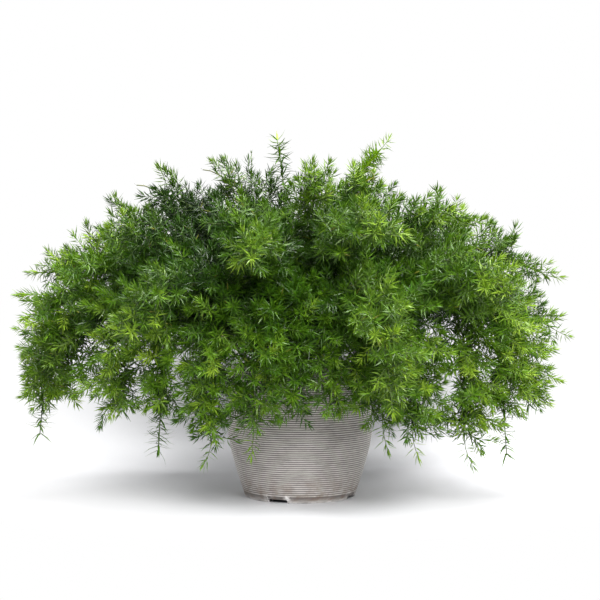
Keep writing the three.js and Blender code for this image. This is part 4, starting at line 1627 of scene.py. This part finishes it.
@dataclass
class Studio:
    """A sweep of pale paper, an even white surround, soft lights and the camera."""

    world_strength: float = 0.6
    world_tint: str = "f4f7ff"
    paper_size: float = 6.0
    paper_rows: int = 400
    wall_distance: float = 0.37  # from the pot's axis back to the paper's upright part
    wall_height: float = 1.2
    bend: float = 0.1
    camera_place: Vector = field(default_factory=lambda: Vector((0, -1.85, 0.292)))
    lens: float = 74.0  # on a 36 mm sensor
    aim: Vector = field(default_factory=lambda: Vector((0, 0, 0.25)))  # of the lamps

    LAMPS = (
        ("key", (0.9, -3.1, 2.7), 2.0, 194.0),
        ("top", (0.5, -0.4, 3.0), 2.0, 208.0),
    )
    # painted shadow: the paper is darkest close to this spot: how far behind the upright part, and how high
    PAINTED_SHADOW_SPOT = (0.05, 0.07)
    PAINTED_SHADOW = {1: 0.12, 2: 0.5, 3: 0.29, 4: 0.82}  # distances from there, and the paper's values at both
    # painted light: the paper glows more between these distances from a spot this far in front of the
    # upright part, or between these heights, and less within some distance of the pot's foot
    GLOW_SPOT = 0.12
    GLOW = {1: 0.15, 2: 0.62}
    GLOW_HEIGHTS = {1: 0.12, 2: 0.34}
    POT_SHADOW = {1: 0.09, 2: 0.24}

    def build(self) -> None:
        """Sets up the surround, the paper, the lamps and the camera."""
        scene = bpy.context.scene
        scene.view_settings.view_transform = "Standard"
        world = bpy.data.worlds.new("white_studio")
        scene.world = world
        world.use_nodes = True
        tree = world.node_tree
        tree.nodes.clear()
        # the surround is seen pure white and lights the plant a little less than that
        seen = add(tree, "ShaderNodeLightPath")
        soft = add(tree, "ShaderNodeBackground",
                   values={"Color": linear(self.world_tint), "Strength": self.world_strength})
        white = add(tree, "ShaderNodeBackground", values={"Color": linear("ffffff"), "Strength": 1.0})
        both = add(tree, "ShaderNodeMixShader",
                   links={0: seen.outputs["Is Camera Ray"], 1: soft.outputs[0], 2: white.outputs[0]})
        add(tree, "ShaderNodeOutputWorld", links={"Surface": both.outputs[0]})
        self.hang_paper()
        for name, spot, size, power in self.LAMPS:
            light = bpy.data.lights.new(name, "AREA")
            light.size = size
            light.energy = power
            lamp = bpy.data.objects.new(name, light)
            lamp.location = spot
            lamp.rotation_euler = (self.aim - Vector(spot)).to_track_quat("-Z", "Y").to_euler()
            scene.collection.objects.link(lamp)
        camera_data = bpy.data.cameras.new("camera")
        camera_data.lens = self.lens
        camera = bpy.data.objects.new("camera", camera_data)
        camera.location = self.camera_place
        camera.rotation_euler = (math.pi / 2, 0, 0)
        scene.collection.objects.link(camera)
        scene.camera = camera

    def sweep(self, run: float) -> tuple[float, float]:
        """Follows the paper's middle.

        Args:
            run: The distance along the paper from its front edge.

        Returns:
            The depth and the height there.
        """
        flat = self.paper_size + self.wall_distance - self.bend
        turn = min(max((run - flat) / self.bend, 0.0), math.pi / 2)
        rise = max(run - flat - self.bend * math.pi / 2, 0.0)
        depth = min(run, flat) - self.paper_size + self.bend * math.sin(turn)
        return depth, self.bend * (1 - math.cos(turn)) + rise

    def hang_paper(self) -> None:
        """Lays the paper on the floor and bends it up behind the plant."""
        bm = bmesh.new()
        bmesh.ops.create_grid(bm, x_segments=1, y_segments=self.paper_rows, size=1.0)
        length = self.paper_size + self.wall_distance + self.wall_height
        for vert in bm.verts:
            vert.co.x *= self.paper_size
            vert.co.y, vert.co.z = self.sweep((vert.co.y + 1) / 2 * length)
        for face in bm.faces:
            face.smooth = True
        mesh = to_mesh(bm, "paper")
        paper = bpy.data.objects.new("paper", mesh)
        bpy.context.scene.collection.objects.link(paper)
        mesh.materials.append(self.paper_material())

    def paper_material(self) -> bpy.types.Material:
        """Builds white paper with a painted shadow behind the pot, which glows pure white with painted light
        away from the plant.

        Returns:
            The material.
        """
        material, tree, output = new_material("white_paper_sweep_painted_light")
        place = add(tree, "ShaderNodeTexCoord").outputs["Object"]
        # a cloud of fibres, about 3 mm across
        fibre = add(tree, "ShaderNodeTexNoise", values={"Scale": 300.0, "Detail": 2.0},
                    links={"Vector": place})
        white = ramp(add(tree, "ShaderNodeValToRGB", links={0: fibre.outputs["Fac"]}),
                     ((0.0, "eeeef0"), (1.0, "f4f4f6")))
        # painted shadow: darker close behind the pot, where little light falls
        behind, high_up = self.PAINTED_SHADOW_SPOT
        near = add(tree, "ShaderNodeVectorMath", {"operation": "DISTANCE"},
                   {1: (0.0, self.wall_distance + behind, high_up)}, {0: place})
        soft = {"interpolation_type": "SMOOTHSTEP"}
        shade = add(tree, "ShaderNodeMapRange", soft, self.PAINTED_SHADOW, {0: near.outputs["Value"]})
        paper = add(tree, "ShaderNodeHueSaturation",
                    links={"Value": shade.outputs[0], "Color": white.outputs[0]})
        skin = add(tree, "ShaderNodeBsdfPrincipled", values={"Roughness": 0.5},
                   links={"Base Color": paper.outputs[0]})
        # painted light: the paper glows on the floor away from the plant, and on the upright part from some
        # height on
        away = add(tree, "ShaderNodeVectorMath", {"operation": "DISTANCE"},
                   {1: (0.0, self.wall_distance - self.GLOW_SPOT, 0.0)}, {0: place})
        far = add(tree, "ShaderNodeMapRange", soft, self.GLOW, {0: away.outputs["Value"]})
        split = add(tree, "ShaderNodeSeparateXYZ", links={0: place})
        high = add(tree, "ShaderNodeMapRange", soft, self.GLOW_HEIGHTS, {0: split.outputs["Z"]})
        # but not under the pot and close to it
        axis = add(tree, "ShaderNodeVectorMath", {"operation": "LENGTH"}, links={0: place})
        clear_of_pot = add(tree, "ShaderNodeMapRange", soft, self.POT_SHADOW, {0: axis.outputs["Value"]})
        floor = add(tree, "ShaderNodeMath", {"operation": "MULTIPLY"},
                    links={0: far.outputs[0], 1: clear_of_pot.outputs[0]})
        lit = add(tree, "ShaderNodeMath", {"operation": "MAXIMUM"},
                  links={0: floor.outputs[0], 1: high.outputs[0]})
        # painted light: the paper's own glow
        glow = add(tree, "ShaderNodeEmission", values={"Color": linear("ffffff"), "Strength": 1.0})
        front = add(tree, "ShaderNodeMixShader",
                    links={0: lit.outputs[0], 1: skin.outputs[0], 2: glow.outputs[0]})
        # seen from behind, the paper lets the view through
        facing = add(tree, "ShaderNodeNewGeometry")
        clear = add(tree, "ShaderNodeBsdfTransparent")
        both = add(tree, "ShaderNodeMixShader",
                   links={0: facing.outputs["Backfacing"], 1: front.outputs[0], 2: clear.outputs[0]})
        tree.links.new(both.outputs[0], output.inputs["Surface"])
        return material


# needles of each age: their tones from the inside of the mound to its outside; the old ones' darker tones
# also paint the shade at the back left
LEAF_FINISHES = {
    Age.OLD: WaxyNeedle(
        "waxy_needles_old_and_shaded", ((0.0, "15290a"), (0.3, "2a4812"), (0.6, "496c1b"), (0.88, "83a233"))),
    Age.FULL: WaxyNeedle(
        "waxy_needles_full", ((0.0, "1b340a"), (0.3, "3b6011"), (0.6, "63881f"), (0.88, "a3c03f"))),
    Age.YOUNG: WaxyNeedle(
        "waxy_needles_young", ((0.0, "233f0b"), (0.3, "467014"), (0.6, "729b26"), (0.88, "b4d04a"))),
}
FIRST_STEM_SEED = 7000


def main() -> None:
    """Builds the pieces in order and reports each."""
    logging.basicConfig(level=logging.INFO, format="%(message)s")
    Studio().build()
    planter = Planter()
    planter.build()
    PottingMix(planter).build()
    bounds = Bounds(planter, *FRAME_BOX)
    stock = SprayStock()
    stem = WiryStem().material()
    dressed = {age: finish.material() for age, finish in LEAF_FINISHES.items()}
    for number, route in enumerate(Crown().settle(), 1):
        age = route.plan.age
        roomy = number in LONG_BRANCHED or number <= Crown.mound_stems and route.points[-1].y > BACK_FROM
        reach = LONG_REACH if roomy else SHORT_REACH if number in SHORT_BRANCHED else 1.0
        leafy_stem = LeafyStem(route, FIRST_STEM_SEED + number, number in LEAFY_ENDS, reach)
        bm = leafy_stem.build(stock, bounds)
        finish_piece(bm, f"leafy_stem_{number:02d}", [f"frond_{number:02d}"], [dressed[age], stem])


if __name__ == "__main__":
    main()
